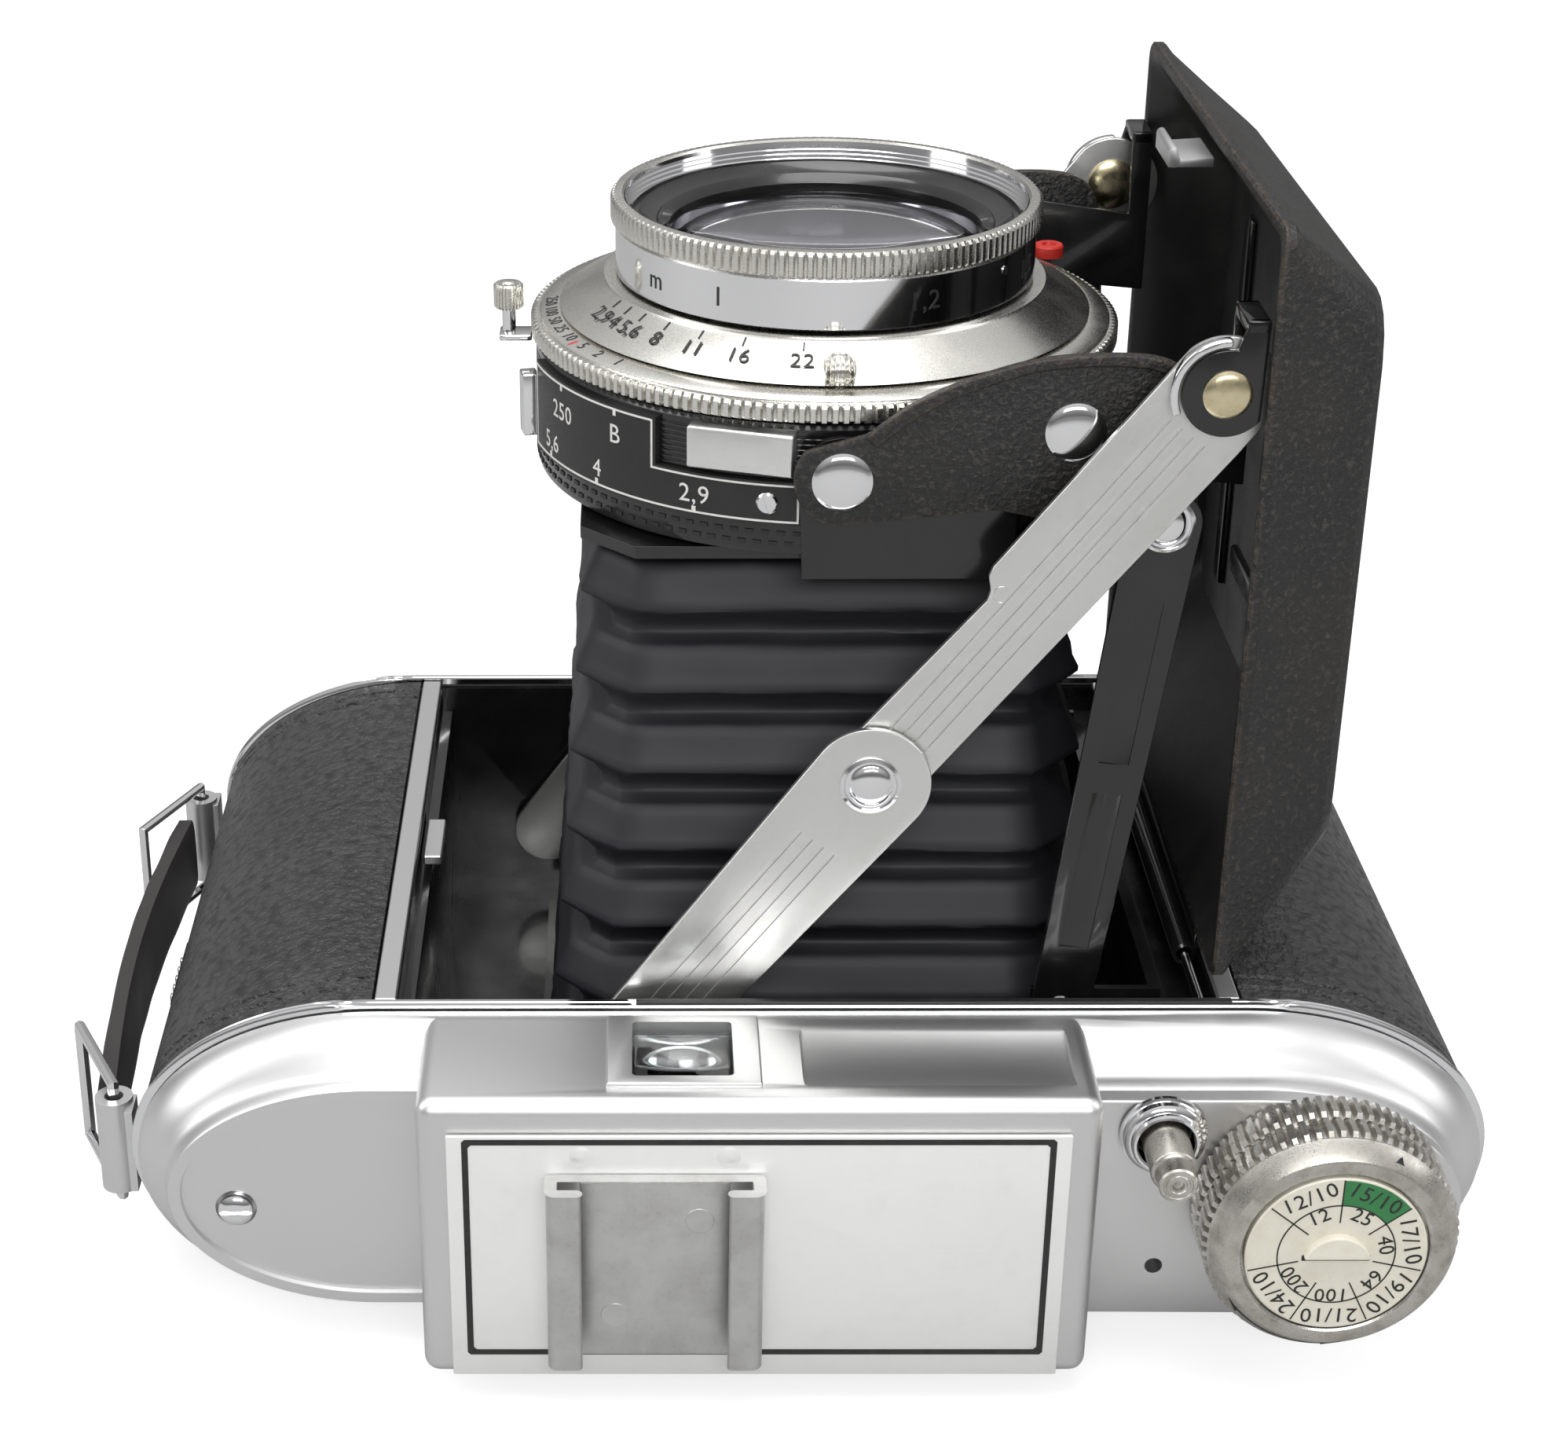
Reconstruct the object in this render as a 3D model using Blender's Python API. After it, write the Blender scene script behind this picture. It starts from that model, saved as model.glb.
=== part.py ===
"""Folding roll-film camera with its bed open and its lens out, lying on its back.

The origin is on the back's outer face, under the lens axis. +X is to the right along the body, +Z is
the way the lens looks, and -Y is the side with the top housing. Sizes and places are in millimetres
and become metres when a mesh is finished.
"""

import math

import bmesh
import bpy
from mathutils import Matrix

MM = 0.001
GAP = 0.3  # between pieces that touch on the real camera

# Body: a flat box with half-elliptical ends.
LEFT_CENTRE, RIGHT_CENTRE = -45.9, 42.1
END_REACH = 25.3
MID_HEIGHT = 17.7
FRONT = 34.7
CASTING_INSET = 0.9
SKIN = 1.2
HALF_WIDTH = 39.2
WELL_HALF = 37.9
WELL_LEFT, WELL_RIGHT = -43.7, 39.2
WELL_LOW_LEFT, WELL_LOW_RIGHT = -42.5, 34.0
LEDGE = 30.6
GATE_TOP = 5.8
GATE_HALF = 28.0
BELLOWS_LOW = 8.0
SPLIT = 9.0
STRIP = 2.3

# Folding bed and its linkage, as (x, z) places.
HINGE = (37.6, 34.1)
DOOR_HALF = 38.0
DOOR_RIM = 38.5
DOOR_DEPTH = 10.2
DOOR_LOW, DOOR_TIP = 36.6, 114.5
EAR = (34.9, 98.6)
BRACE_MIDDLE = (3.5, 58.4)
BRACE_FOOT = (-30.6, 14.7)
ARM_DOOR = (21.95, 93.35)
ARM_LENS = (0.15, 88.4)
LINK_TOP = (30.8, 84.7)
LINK_FOOT = (24.0, 30.5)

# Layers of the linkage: nearest and farthest distance from the lens axis, along Y.
EAR_LAYER = (36.1, 36.8)
UPPER_BRACE_LAYER = (35.1, 35.8)
LINK_LAYER = (33.4, 34.1)
FOOT_LAYER = (32.4, 33.1)
ARM_LAYER = (31.5, 32.3)
LUG_LAYER = (30.5, 31.2)
RIVET_HEIGHT = 0.8

# Lens and shutter, on the Z axis.
BOARD_LOW = 77.9
BARREL_LOW, BARREL_TOP, BARREL_RADIUS = 79.5, 93.0, 29.8
SPEED_TOP, SPEED_RADIUS = 95.0, 30.3
CONE_TOP, CONE_RADIUS = 99.3, 21.2
FOCUS_TOP, FOCUS_RADIUS = 107.6, 22.0
KNURL_LOW = 105.0
GLASS_RADIUS = 15.7

# Top housing, and what stands on it.
HOUSING_NEAR = -39.8
LEFT_DECK, RIGHT_DECK = -47.9, -49.8
BLOCK_X, BLOCK_Z, BLOCK_FACE = (-40.8, 25.4), (2.2, 34.4), -56.8
FINDER_X, FINDER_Y = (-20.0, -9.9), (-52.6, -42.6)
SHOE_X, SHOE_Z = (-28.2, -7.2), (6.3, 27.0)
SHOE_PAD = 0.15  # how far the middle of the shoe's floor stands up
KNOB = (48.2, 18.9)
KNOB_RADIUS, KNOB_TOP = 12.5, -59.3
BUTTON = (32.4, 26.7)
SCREW = (-60.0, 15.9)
BASE_OUTER = 44.6
TRIPOD = (0.0, 17.0)
TRIPOD_BORE = 3.2
BACK_HINGE_Z = 7.1
RED_WINDOW = (8.0, 10.0)


def material(name, colour, roughness, metallic=0.0, alpha=1.0):
    """A plain Principled material."""
    made = bpy.data.materials.new(name)
    made.use_nodes = True
    shader = made.node_tree.nodes["Principled BSDF"]
    shader.inputs["Base Color"].default_value = (*colour, 1.0)
    shader.inputs["Roughness"].default_value = roughness
    shader.inputs["Metallic"].default_value = metallic
    shader.inputs["Alpha"].default_value = alpha
    return made


def make_materials():
    """The camera's finishes, by slot name."""
    return {
        "satin_chrome": material("satin_chrome", (0.72, 0.72, 0.72), 0.32, 1.0),
        "bright_chrome": material("bright_chrome", (0.80, 0.80, 0.81), 0.12, 1.0),
        "brushed_aluminium": material("brushed_aluminium", (0.78, 0.78, 0.77), 0.35, 1.0),
        "black_leather": material("black_leather", (0.035, 0.035, 0.037), 0.6),
        "bellows_leather": material("bellows_leather", (0.012, 0.012, 0.014), 0.45),
        "crackle_black": material("crackle_black", (0.02, 0.02, 0.019), 0.7),
        "gloss_black": material("gloss_black", (0.006, 0.006, 0.006), 0.18),
        "glass": material("glass", (0.75, 0.8, 0.82), 0.03, 0.0, 0.35),
        "cream_dial": material("cream_dial", (0.82, 0.80, 0.70), 0.45),
        "red_window": material("red_window", (0.35, 0.02, 0.02), 0.2, 0.0, 0.6),
        "strap_leather": material("strap_leather", (0.03, 0.026, 0.026), 0.6),
    }


def finish(name, mesh, slot, pivot=(0.0, 0.0, 0.0)):
    """Makes a named object of a bmesh in millimetres, with its origin at the pivot."""
    bmesh.ops.remove_doubles(mesh, verts=mesh.verts, dist=0.0005)
    bmesh.ops.recalc_face_normals(mesh, faces=mesh.faces)
    place = Matrix.Scale(MM, 4) @ Matrix.Translation([-value for value in pivot])
    bmesh.ops.transform(mesh, matrix=place, verts=mesh.verts)
    data = bpy.data.meshes.new(name)
    mesh.to_mesh(data)
    mesh.free()
    data.shade_smooth()
    data.set_sharp_from_angle(angle=math.radians(30))
    made = bpy.data.objects.new(name, data)
    made.location = [value * MM for value in pivot]
    bpy.context.scene.collection.objects.link(made)
    if slot is not None:
        data.materials.append(MATERIALS[slot])
    return made


def boolean(target, operation, name, mesh):
    """Cuts a hidden shape out of the target, or joins it on."""
    helper = finish(f"{target.name}_{name}", mesh, None)
    helper.hide_render = True
    helper.display_type = "WIRE"
    modifier = target.modifiers.new(name, "BOOLEAN")
    modifier.operation = operation
    modifier.solver = "EXACT"
    modifier.object = helper
    return helper


def cut(target, name, mesh):
    """Cuts a shape out of the target."""
    return boolean(target, "DIFFERENCE", name, mesh)


def join(target, name, mesh):
    """Joins a shape that overlaps the target onto it."""
    return boolean(target, "UNION", name, mesh)


def loft(loops, closed=False):
    """A solid through loops of equally many (x, y, z) points, capped at both ends unless closed."""
    mesh = bmesh.new()
    rings = [[mesh.verts.new(point) for point in loop] for loop in loops]
    following = rings[1:] + rings[:1] if closed else rings[1:]
    for ring, after in zip(rings, following):
        for index in range(len(ring)):
            mesh.faces.new((ring[index - 1], ring[index], after[index], after[index - 1]))
    if not closed:
        mesh.faces.new(rings[0])
        mesh.faces.new(rings[-1])
    return mesh


def prism(outline, low, high):
    """An (x, z) outline extruded along Y."""
    return loft([[(x, y, z) for x, z in outline] for y in (low, high)])


def box(low, high, bevel=0.0):
    """A box between two corners, with its edges bevelled if asked."""
    mesh = bmesh.new()
    size = [top - bottom for bottom, top in zip(low, high)]
    middle = [(top + bottom) / 2 for bottom, top in zip(low, high)]
    bmesh.ops.create_cube(mesh, size=1.0)
    bmesh.ops.transform(mesh, matrix=Matrix.Diagonal((*size, 1.0)), verts=mesh.verts)
    bmesh.ops.translate(mesh, vec=middle, verts=mesh.verts)
    if bevel:
        bmesh.ops.bevel(
            mesh, geom=mesh.edges[:], offset=bevel, affect="EDGES", segments=2, profile=0.5, material=-1
        )
    return mesh


def turned(profile, segments=48, centre=(0.0, 0.0), axis="Z"):
    """A closed (radius, height) profile spun about an axis.

    The axis is along Z through (x, y), or along Y through (x, z), where a height is then a y value.
    """
    mesh = bmesh.new()
    points = [mesh.verts.new((radius, 0.0, height)) for radius, height in profile]
    edges = [mesh.edges.new((points[index - 1], points[index])) for index in range(len(points))]
    bmesh.ops.spin(
        mesh, geom=points + edges, cent=(0, 0, 0), axis=(0, 0, 1), angle=math.tau, steps=segments, use_merge=True
    )
    bmesh.ops.remove_doubles(mesh, verts=mesh.verts, dist=0.001)
    bmesh.ops.dissolve_degenerate(mesh, edges=mesh.edges, dist=0.0005)
    if axis == "Y":
        bmesh.ops.rotate(mesh, matrix=Matrix.Rotation(math.radians(-90), 3, "X"), verts=mesh.verts)
        bmesh.ops.translate(mesh, vec=(centre[0], 0.0, centre[1]), verts=mesh.verts)
    else:
        bmesh.ops.translate(mesh, vec=(centre[0], centre[1], 0.0), verts=mesh.verts)
    return mesh


def disc(radius, low, high, segments=32, centre=(0.0, 0.0), axis="Z"):
    """A plain cylinder."""
    mesh = bmesh.new()
    bmesh.ops.create_cone(
        mesh, cap_ends=True, segments=segments, radius1=radius, radius2=radius, depth=high - low
    )
    bmesh.ops.translate(mesh, vec=(0, 0, (high + low) / 2), verts=mesh.verts)
    if axis == "Y":
        bmesh.ops.rotate(mesh, matrix=Matrix.Rotation(math.radians(-90), 3, "X"), verts=mesh.verts)
        bmesh.ops.translate(mesh, vec=(centre[0], 0.0, centre[1]), verts=mesh.verts)
    else:
        bmesh.ops.translate(mesh, vec=(centre[0], centre[1], 0.0), verts=mesh.verts)
    return mesh


def arc(centre, radius, start, end, steps):
    """Points on a circle between two angles in degrees."""
    angles = [math.radians(start + (end - start) * step / steps) for step in range(steps + 1)]
    return [(centre[0] + radius * math.cos(a), centre[1] + radius * math.sin(a)) for a in angles]


def bar_outline(first, second, first_radius, second_radius, steps=8):
    """The outline of a flat bar with round ends at two pivots."""
    heading = math.degrees(math.atan2(second[1] - first[1], second[0] - first[0]))
    return arc(first, first_radius, heading + 90, heading + 270, steps) + arc(
        second, second_radius, heading - 90, heading + 90, steps
    )


def end_point(side, inset, angle):
    """A point on one end of the body outline; 90 degrees is at the front, -90 at the back."""
    centre = RIGHT_CENTRE if side > 0 else LEFT_CENTRE
    rise = (FRONT - MID_HEIGHT if angle > 0 else MID_HEIGHT) - inset
    turn = math.radians(angle)
    return (
        centre + side * (END_REACH - inset) * math.cos(turn),
        MID_HEIGHT + rise * math.sin(turn),
    )


def end_arc(side, inset, low, high=FRONT, steps=10):
    """Points of one end of the body outline, from one height up to another."""
    drop, rise = MID_HEIGHT - inset, FRONT - MID_HEIGHT - inset
    start = math.degrees(math.asin(max(-1.0, (low - MID_HEIGHT) / drop)))
    reach = (high - MID_HEIGHT) / (rise if high > MID_HEIGHT else drop)
    end = math.degrees(math.asin(min(1.0, reach)))
    return [end_point(side, inset, start + (end - start) * step / steps) for step in range(steps + 1)]


def body_outline(inset, steps=12):
    """The whole outline of the body, drawn inwards by the inset."""
    right = end_arc(1, inset, 0.0, FRONT, 2 * steps)
    left = end_arc(-1, inset, 0.0, FRONT, 2 * steps)
    return right + left[::-1]


def sided(layer, side):
    """The low and high Y of a layer on the near side (-1) or the far side (1)."""
    return tuple(sorted(side * distance for distance in layer))


def rivet_head(place, radius, layer, side, segments=16):
    """A low domed rivet head on the outer face of a layer."""
    base, top = layer[1] - 0.2, layer[1] + RIVET_HEIGHT
    profile = [(0.0, base), (radius, base), (radius, base + 0.45), (radius * 0.62, top - 0.12), (0.0, top)]
    return turned([(r, side * y) for r, y in profile], segments, place, "Y")


def hollow(length, radius, bore, centre, segments=24):
    """A tube along Y, centred on the XZ plane."""
    half = length / 2
    return turned([(bore, -half), (radius, -half), (radius, half), (bore, half)], segments, centre, "Y")


def side_name(side):
    """The name of the near or the far side."""
    return "near" if side < 0 else "far"


# ---- body -------------------------------------------------------------------------------------------


def make_body_shell():
    """The casting: rounded end chambers, the well that takes the lens, the film gate and end walls."""
    top = FRONT - CASTING_INSET
    inner = CASTING_INSET + SKIN
    right_outer = end_arc(1, CASTING_INSET, SPLIT)
    left_outer = end_arc(-1, CASTING_INSET, SPLIT)
    right_inner = end_arc(1, inner, SPLIT)
    left_inner = end_arc(-1, inner, SPLIT)
    well = [
        (WELL_LEFT, top),
        (WELL_LEFT, LEDGE),
        (WELL_LOW_LEFT, LEDGE),
        (WELL_LOW_LEFT, GATE_TOP),
        (WELL_LOW_RIGHT, GATE_TOP),
        (WELL_LOW_RIGHT, LEDGE),
        (WELL_RIGHT, LEDGE),
        (WELL_RIGHT, top),
    ]
    under = [
        (WELL_RIGHT + SKIN, top - SKIN),
        (WELL_RIGHT + SKIN, LEDGE - SKIN),
        (WELL_LOW_RIGHT + SKIN, LEDGE - SKIN),
        (WELL_LOW_RIGHT + SKIN, GATE_TOP - SKIN),
        (WELL_LOW_LEFT - SKIN, GATE_TOP - SKIN),
        (WELL_LOW_LEFT - SKIN, LEDGE - SKIN),
        (WELL_LEFT - SKIN, LEDGE - SKIN),
        (WELL_LEFT - SKIN, top - SKIN),
    ]
    outline = left_outer + well + right_outer[::-1] + right_inner + under + left_inner[::-1]
    shell = finish("body_shell", prism(outline, -WELL_HALF - 0.1, WELL_HALF + 0.1), "gloss_black")
    for side in (-1, 1):
        low, high = sided((WELL_HALF, HALF_WIDTH), side)
        join(shell, f"wall_{side_name(side)}", prism(body_outline(CASTING_INSET), low, high))
        low, high = sided((EAR_LAYER[1] + GAP, WELL_HALF + 0.2), side)
        join(shell, f"brace_stud_{side_name(side)}", disc(1.6, low, high, 16, BRACE_FOOT, "Y"))
        low, high = sided(FOOT_LAYER, side)
        foot = box((LINK_FOOT[0] - 3, low, LEDGE - 4), (WELL_LOW_RIGHT + 0.4, high, LEDGE + 2.4))
        join(shell, f"link_foot_{side_name(side)}", foot)
    frame = GATE_HALF + 2.5
    join(shell, "bellows_frame", box((-frame, -frame, GATE_TOP - 0.5), (frame, frame, BELLOWS_LOW - GAP)))
    cut(shell, "gate", box((-GATE_HALF, -GATE_HALF, 3), (GATE_HALF, GATE_HALF, BELLOWS_LOW + 1)))
    cut(shell, "key_hole", disc(3.3, -WELL_HALF - 3, -WELL_HALF + 3, 24, KNOB, "Y"))
    cut(shell, "catch_slot", box((WELL_LEFT - 2, -6, 31.6), (WELL_LEFT + 0.5, 6, 33.3)))


def make_trims():
    """The bright bands that frame both long sides of the body."""
    for name, side in (("top_trim", -1), ("bottom_trim", 1)):
        low, high = sided((38.3, 39.5), side)
        band = finish(name, prism([(x, max(z, 0.4)) for x, z in body_outline(-0.5)], low, high), "bright_chrome")
        cut(band, "inside", prism(body_outline(0.6), low - 1, high + 1))


def make_leathers():
    """The leather covering on the front and round each end, and the bright strips beside the well."""
    width = DOOR_HALF
    for name, side, edge in (("leather_left", -1, WELL_LEFT - STRIP), ("leather_right", 1, WELL_RIGHT + STRIP)):
        outer = end_arc(side, 0.0, SPLIT) + [(edge + side * GAP, FRONT)]
        inner = end_arc(side, 0.6, SPLIT) + [(edge + side * GAP, FRONT - 0.6)]
        finish(name, prism(outer + inner[::-1], -width, width), "black_leather")
        low_x, high_x = sorted((edge, edge - side * (STRIP - 0.1)))
        strip = box((low_x, -width, 34.1), (high_x, width, 34.8))
        finish(name.replace("leather", "strip"), strip, "satin_chrome")


def make_back():
    """The hinged back with its pressure plate, red window and window shutter, and the back's latch."""
    hinge_x = end_arc(1, 0.0, BACK_HINGE_Z)[0][0] - 1.3
    hinge = (hinge_x, BACK_HINGE_Z)
    pivot = (hinge_x, 0.0, BACK_HINGE_Z)
    half = WELL_HALF - 0.7
    left_outer = end_arc(-1, 0.0, 0.0, SPLIT - 0.4, 8)
    left_inner = end_arc(-1, SKIN, SKIN, SPLIT - 0.4, 8)
    right_outer = end_arc(1, 0.0, 0.0, BACK_HINGE_Z, 8)
    right_inner = end_arc(1, SKIN, SKIN, BACK_HINGE_Z, 8)
    outline = left_outer[::-1] + right_outer + right_inner[::-1] + left_inner
    cover = finish("back_cover", prism(outline, -half, half), "black_leather", pivot)
    join(cover, "knuckle", hollow(2 * half - 1, 1.4, 0.85, hinge))
    cut(cover, "pin_way", disc(0.85, -40, 40, 24, hinge, "Y"))
    wx, wy = RED_WINDOW
    cut(cover, "window", disc(5.2, -1, 3, 32, RED_WINDOW))
    cut(cover, "shutter_way", box((wx - 18, wy - 6.6, -1), (wx + 6.6, wy + 6.6, 0.55)))
    finish("back_hinge_pin", disc(0.55, -WELL_HALF + GAP, WELL_HALF - GAP, 12, hinge, "Y"), "bright_chrome")
    finish("red_window", disc(4.9, 0.9, 1.9, 24, RED_WINDOW), "red_window", pivot)
    slide = box((wx - 6.2, wy - 6.2, 0.15), (wx + 6.2, wy + 6.2, 0.5))
    shutter = finish("window_shutter", slide, "satin_chrome", (wx, wy, 0.0))
    join(shutter, "grip", box((wx - 5.0, wy - 1.5, 0.05), (wx - 4.0, wy + 1.5, 0.3)))
    plate = box((-31, -30, 2.6), (31, 30, 3.4))
    finish("pressure_plate", plate, "gloss_black", pivot)
    latch = finish("back_latch", box((-72.6, -7, 10.5), (-71.6, 7, 15.5), 0.3), "bright_chrome")
    for step in range(-2, 3):
        join(latch, f"rib_{step + 2}", box((-73.0, step * 2 - 0.4, 11.2), (-72.3, step * 2 + 0.4, 14.8)))


def make_strap():
    """The carrying strap on two wire rings, each in a tubular lug on the left end."""
    lug_x, lug_y, lug_z = -74.2, 34.0, (9.6, 20.6)
    strap_z = (10.2, 20.0)
    wire = 0.65
    ring_z = (lug_z[0] - 1.4, lug_z[1] + 1.4)
    for side in (-1, 1):
        tube = turned([(1.0, lug_z[0]), (2.0, lug_z[0]), (2.0, lug_z[1]), (1.0, lug_z[1])], 20, (lug_x, side * lug_y))
        lug = finish(f"strap_lug_{side_name(side)}", tube, "satin_chrome")
        low, high = sided((lug_y - 1.2, lug_y + 2.4), side)
        join(lug, "tab", box((lug_x + 1.4, low, lug_z[0] + 0.6), (-72.0, high, lug_z[1] - 0.6)))
        corners = [
            (lug_x, side * lug_y, ring_z[0]),
            (lug_x, side * lug_y, ring_z[1]),
            (lug_x - 5.4, side * (lug_y - 11.5), ring_z[1]),
            (lug_x - 5.4, side * (lug_y - 11.5), ring_z[0]),
        ]
        curve = bpy.data.curves.new(f"strap_ring_{side_name(side)}", "CURVE")
        curve.dimensions = "3D"
        curve.bevel_depth = wire * MM
        curve.bevel_resolution = 2
        spline = curve.splines.new("POLY")
        spline.points.add(3)
        for point, corner in zip(spline.points, corners):
            point.co = (*[value * MM for value in corner], 1.0)
        spline.use_cyclic_u = True
        ring = bpy.data.objects.new(f"strap_ring_{side_name(side)}", curve)
        curve.materials.append(MATERIALS["bright_chrome"])
        bpy.context.scene.collection.objects.link(ring)
    sections = []
    steps = 14
    for step in range(steps + 1):
        y = -29.5 + 59.0 * step / steps
        bow = -76.2 - 2.0 * math.cos(math.pi * y / 66.0)
        sections.append([(bow, y, strap_z[0]), (bow + 1.9, y, strap_z[0]), (bow + 1.9, y, strap_z[1]), (bow, y, strap_z[1])])
    finish("carrying_strap", loft(sections), "strap_leather")


# ---- top housing ------------------------------------------------------------------------------------


def deck(levels):
    """A lobed cover lofted through (y, inset) levels of the body outline."""
    return loft([[(x, y, z) for x, z in body_outline(inset, 9)] for y, inset in levels])


def make_top_housing():
    """The pressed cover: coved lobes at both ends and a raised block with the finder in the middle."""
    levels = [(HOUSING_NEAR, 0.3), (-42.0, 0.7), (-44.0, 2.0), (-45.2, 3.4), (-46.2, 4.1), (LEFT_DECK, 4.3)]
    housing = finish("top_housing", deck(levels), "satin_chrome")
    (low_x, high_x), (low_z, high_z) = BLOCK_X, BLOCK_Z
    block = box((low_x, BLOCK_FACE, low_z), (high_x, HOUSING_NEAR, high_z), 1.6)
    join(housing, "block", block)
    platform = [(high_x - 2, 4.6), (high_x - 2, 30.2)] + [
        end_point(1, 4.5, 90 - 15 * step) for step in range(13)
    ]
    join(housing, "platform", prism(platform, RIGHT_DECK, LEFT_DECK + 1))
    inner = [(HOUSING_NEAR + 0.2, 1.8), (-42.0, 2.2), (-44.6, 4.6), (LEFT_DECK + SKIN, 5.6)]
    cut(housing, "lobe_inside", deck(inner))
    room = box((low_x + SKIN, BLOCK_FACE + SKIN, low_z + SKIN), (high_x - SKIN, HOUSING_NEAR + 1, high_z - SKIN))
    cut(housing, "block_inside", room)
    cut(housing, "flat_side", box((-80, HOUSING_NEAR, -5), (80, HOUSING_NEAR + 4, 40)))
    cut(housing, "finder_front", box((FINDER_X[0], FINDER_Y[0], 30), (FINDER_X[1], FINDER_Y[1], 40)))
    cut(housing, "finder_back", disc(3.0, 0, 6, 20, (-15.0, -47.6)))
    cut(housing, "knob_hole", disc(3.3, -54, -44, 24, KNOB, "Y"))
    cut(housing, "button_hole", disc(2.8, -54, -44, 24, BUTTON, "Y"))
    cut(housing, "small_hole", disc(0.9, -54, -44, 12, (32.7, 10.5), "Y"))
    cut(housing, "screw_seat", disc(2.1, -50, -44, 20, SCREW, "Y"))
    glass = box((FINDER_X[0] + GAP, FINDER_Y[0] + GAP, 33.0), (FINDER_X[1] - GAP, FINDER_Y[1] - GAP, 33.8))
    finish("finder_window", glass, "glass")
    finish("finder_eyepiece", disc(2.7, 2.5, 3.2, 20, (-15.0, -47.6)), "glass")
    head = [(0, -47.2), (1.1, -47.2), (1.75, -47.7), (1.75, -48.0), (1.2, -48.4), (0, -48.5)]
    screw = finish("housing_screw", turned(head, 20, SCREW, "Y"), "bright_chrome")
    cut(screw, "slot", box((SCREW[0] - 3, -49, SCREW[1] - 0.25), (SCREW[0] + 3, -48.0, SCREW[1] + 0.25)))


def make_name_plate_and_shoe():
    """The flat plate on the block's face, and the accessory shoe with its two rolled rails."""
    finish("name_plate", box((-37.8, -57.5, 2.9), (22.3, -57.1, 31.2)), "brushed_aluminium")
    floor, rise, lip, sheet = -57.8, -61.3, 3.4, 0.9
    left, right = SHOE_X
    section = [
        (left, floor),
        (left, rise),
        (left + lip, rise),
        (left + lip, rise + sheet),
        (left + sheet, rise + sheet),
        (left + sheet, floor - sheet),
        (left + lip + 0.1, floor - sheet),
        (left + lip + 0.1, floor - sheet - SHOE_PAD),
        (right - lip - 0.1, floor - sheet - SHOE_PAD),
        (right - lip - 0.1, floor - sheet),
        (right - sheet, floor - sheet),
        (right - sheet, rise + sheet),
        (right - lip, rise + sheet),
        (right - lip, rise),
        (right, rise),
        (right, floor),
    ]
    shoe = loft([[(x, y, z) for x, y in section] for z in SHOE_Z])
    finish("accessory_shoe", shoe, "satin_chrome")


def make_release():
    """The release button in its collar."""
    rim, base = RIGHT_DECK - 2.6, RIGHT_DECK - GAP
    collar = [(2.8, base), (4.0, base), (4.0, rim + 1.0), (3.4, rim), (2.8, rim)]
    finish("release_collar", turned(collar, 24, BUTTON, "Y"), "bright_chrome")
    tip = KNOB_TOP
    plunger = [(0, -42.5), (2.3, -42.5), (2.3, tip + 2.4), (1.9, tip + 2.0), (1.9, tip), (0, tip)]
    pivot = (BUTTON[0], RIGHT_DECK, BUTTON[1])
    finish("release_button", turned(plunger, 24, BUTTON, "Y"), "bright_chrome", pivot)


def make_winding():
    """The advance knob with its shaft and key, the film dial in it, and the take-up spool."""
    pivot = (KNOB[0], 0.0, KNOB[1])
    low, top = RIGHT_DECK - GAP, KNOB_TOP
    profile = [
        (0, -32.4),
        (2.6, -32.4),
        (2.6, low),
        (11.6, low),
        (KNOB_RADIUS, low - 0.8),
        (KNOB_RADIUS, low - 3.4),
        (11.7, low - 3.9),
        (KNOB_RADIUS, low - 4.4),
        (KNOB_RADIUS, top + 2.2),
        (10.6, top),
        (9.1, top),
        (9.1, top + 0.9),
        (0, top + 0.9),
    ]
    finish("advance_knob", turned(profile, 40, KNOB, "Y"), "satin_chrome", pivot)
    dial = finish("film_dial", disc(8.8, top - 0.1, top + 0.6, 36, KNOB, "Y"), "cream_dial", pivot)
    grip = arc(KNOB, 3.8, 5, 175, 10)
    join(dial, "grip", prism(grip, top - 1.0, top + 0.2))
    flange, core, half = 12.2, 5.2, 31.0
    spool = [
        (2.9, -half),
        (flange, -half),
        (flange, -half + 0.9),
        (core, -half + 0.9),
        (core, half - 0.9),
        (flange, half - 0.9),
        (flange, half),
        (2.9, half),
    ]
    finish("take_up_spool", turned(spool, 36, KNOB, "Y"), "gloss_black", pivot)


def make_base():
    """The bottom cover with the tripod bush."""
    levels = [(BASE_OUTER, 3.0), (BASE_OUTER - 1.2, 1.2), (-HOUSING_NEAR, 0.3)]
    plate = finish("bottom_plate", deck(levels), "satin_chrome")
    cut(plate, "inside", deck([(BASE_OUTER - SKIN, 4.2), (-HOUSING_NEAR - 0.5, 1.8)]))
    cut(plate, "bush_hole", disc(5.4, 40, 50, 28, TRIPOD, "Y"))
    bore = TRIPOD_BORE
    bush = [(bore, 40.2), (6.8, 40.2), (6.8, 43.1), (5.1, 43.1), (5.1, 45.4), (bore, 45.4)]
    finish("tripod_bush", turned(bush, 28, TRIPOD, "Y"), "bright_chrome")


# ---- folding bed ------------------------------------------------------------------------------------


def bed_loop(x, low, high, half, corner=2.0):
    """A chamfered rectangle across the bed at one depth."""
    near, far = -half, half
    return [
        (x, near + corner, low),
        (x, far - corner, low),
        (x, far, low + corner),
        (x, far, high - corner),
        (x, far - corner, high),
        (x, near + corner, high),
        (x, near, high - corner),
        (x, near, low + corner),
    ]


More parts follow.
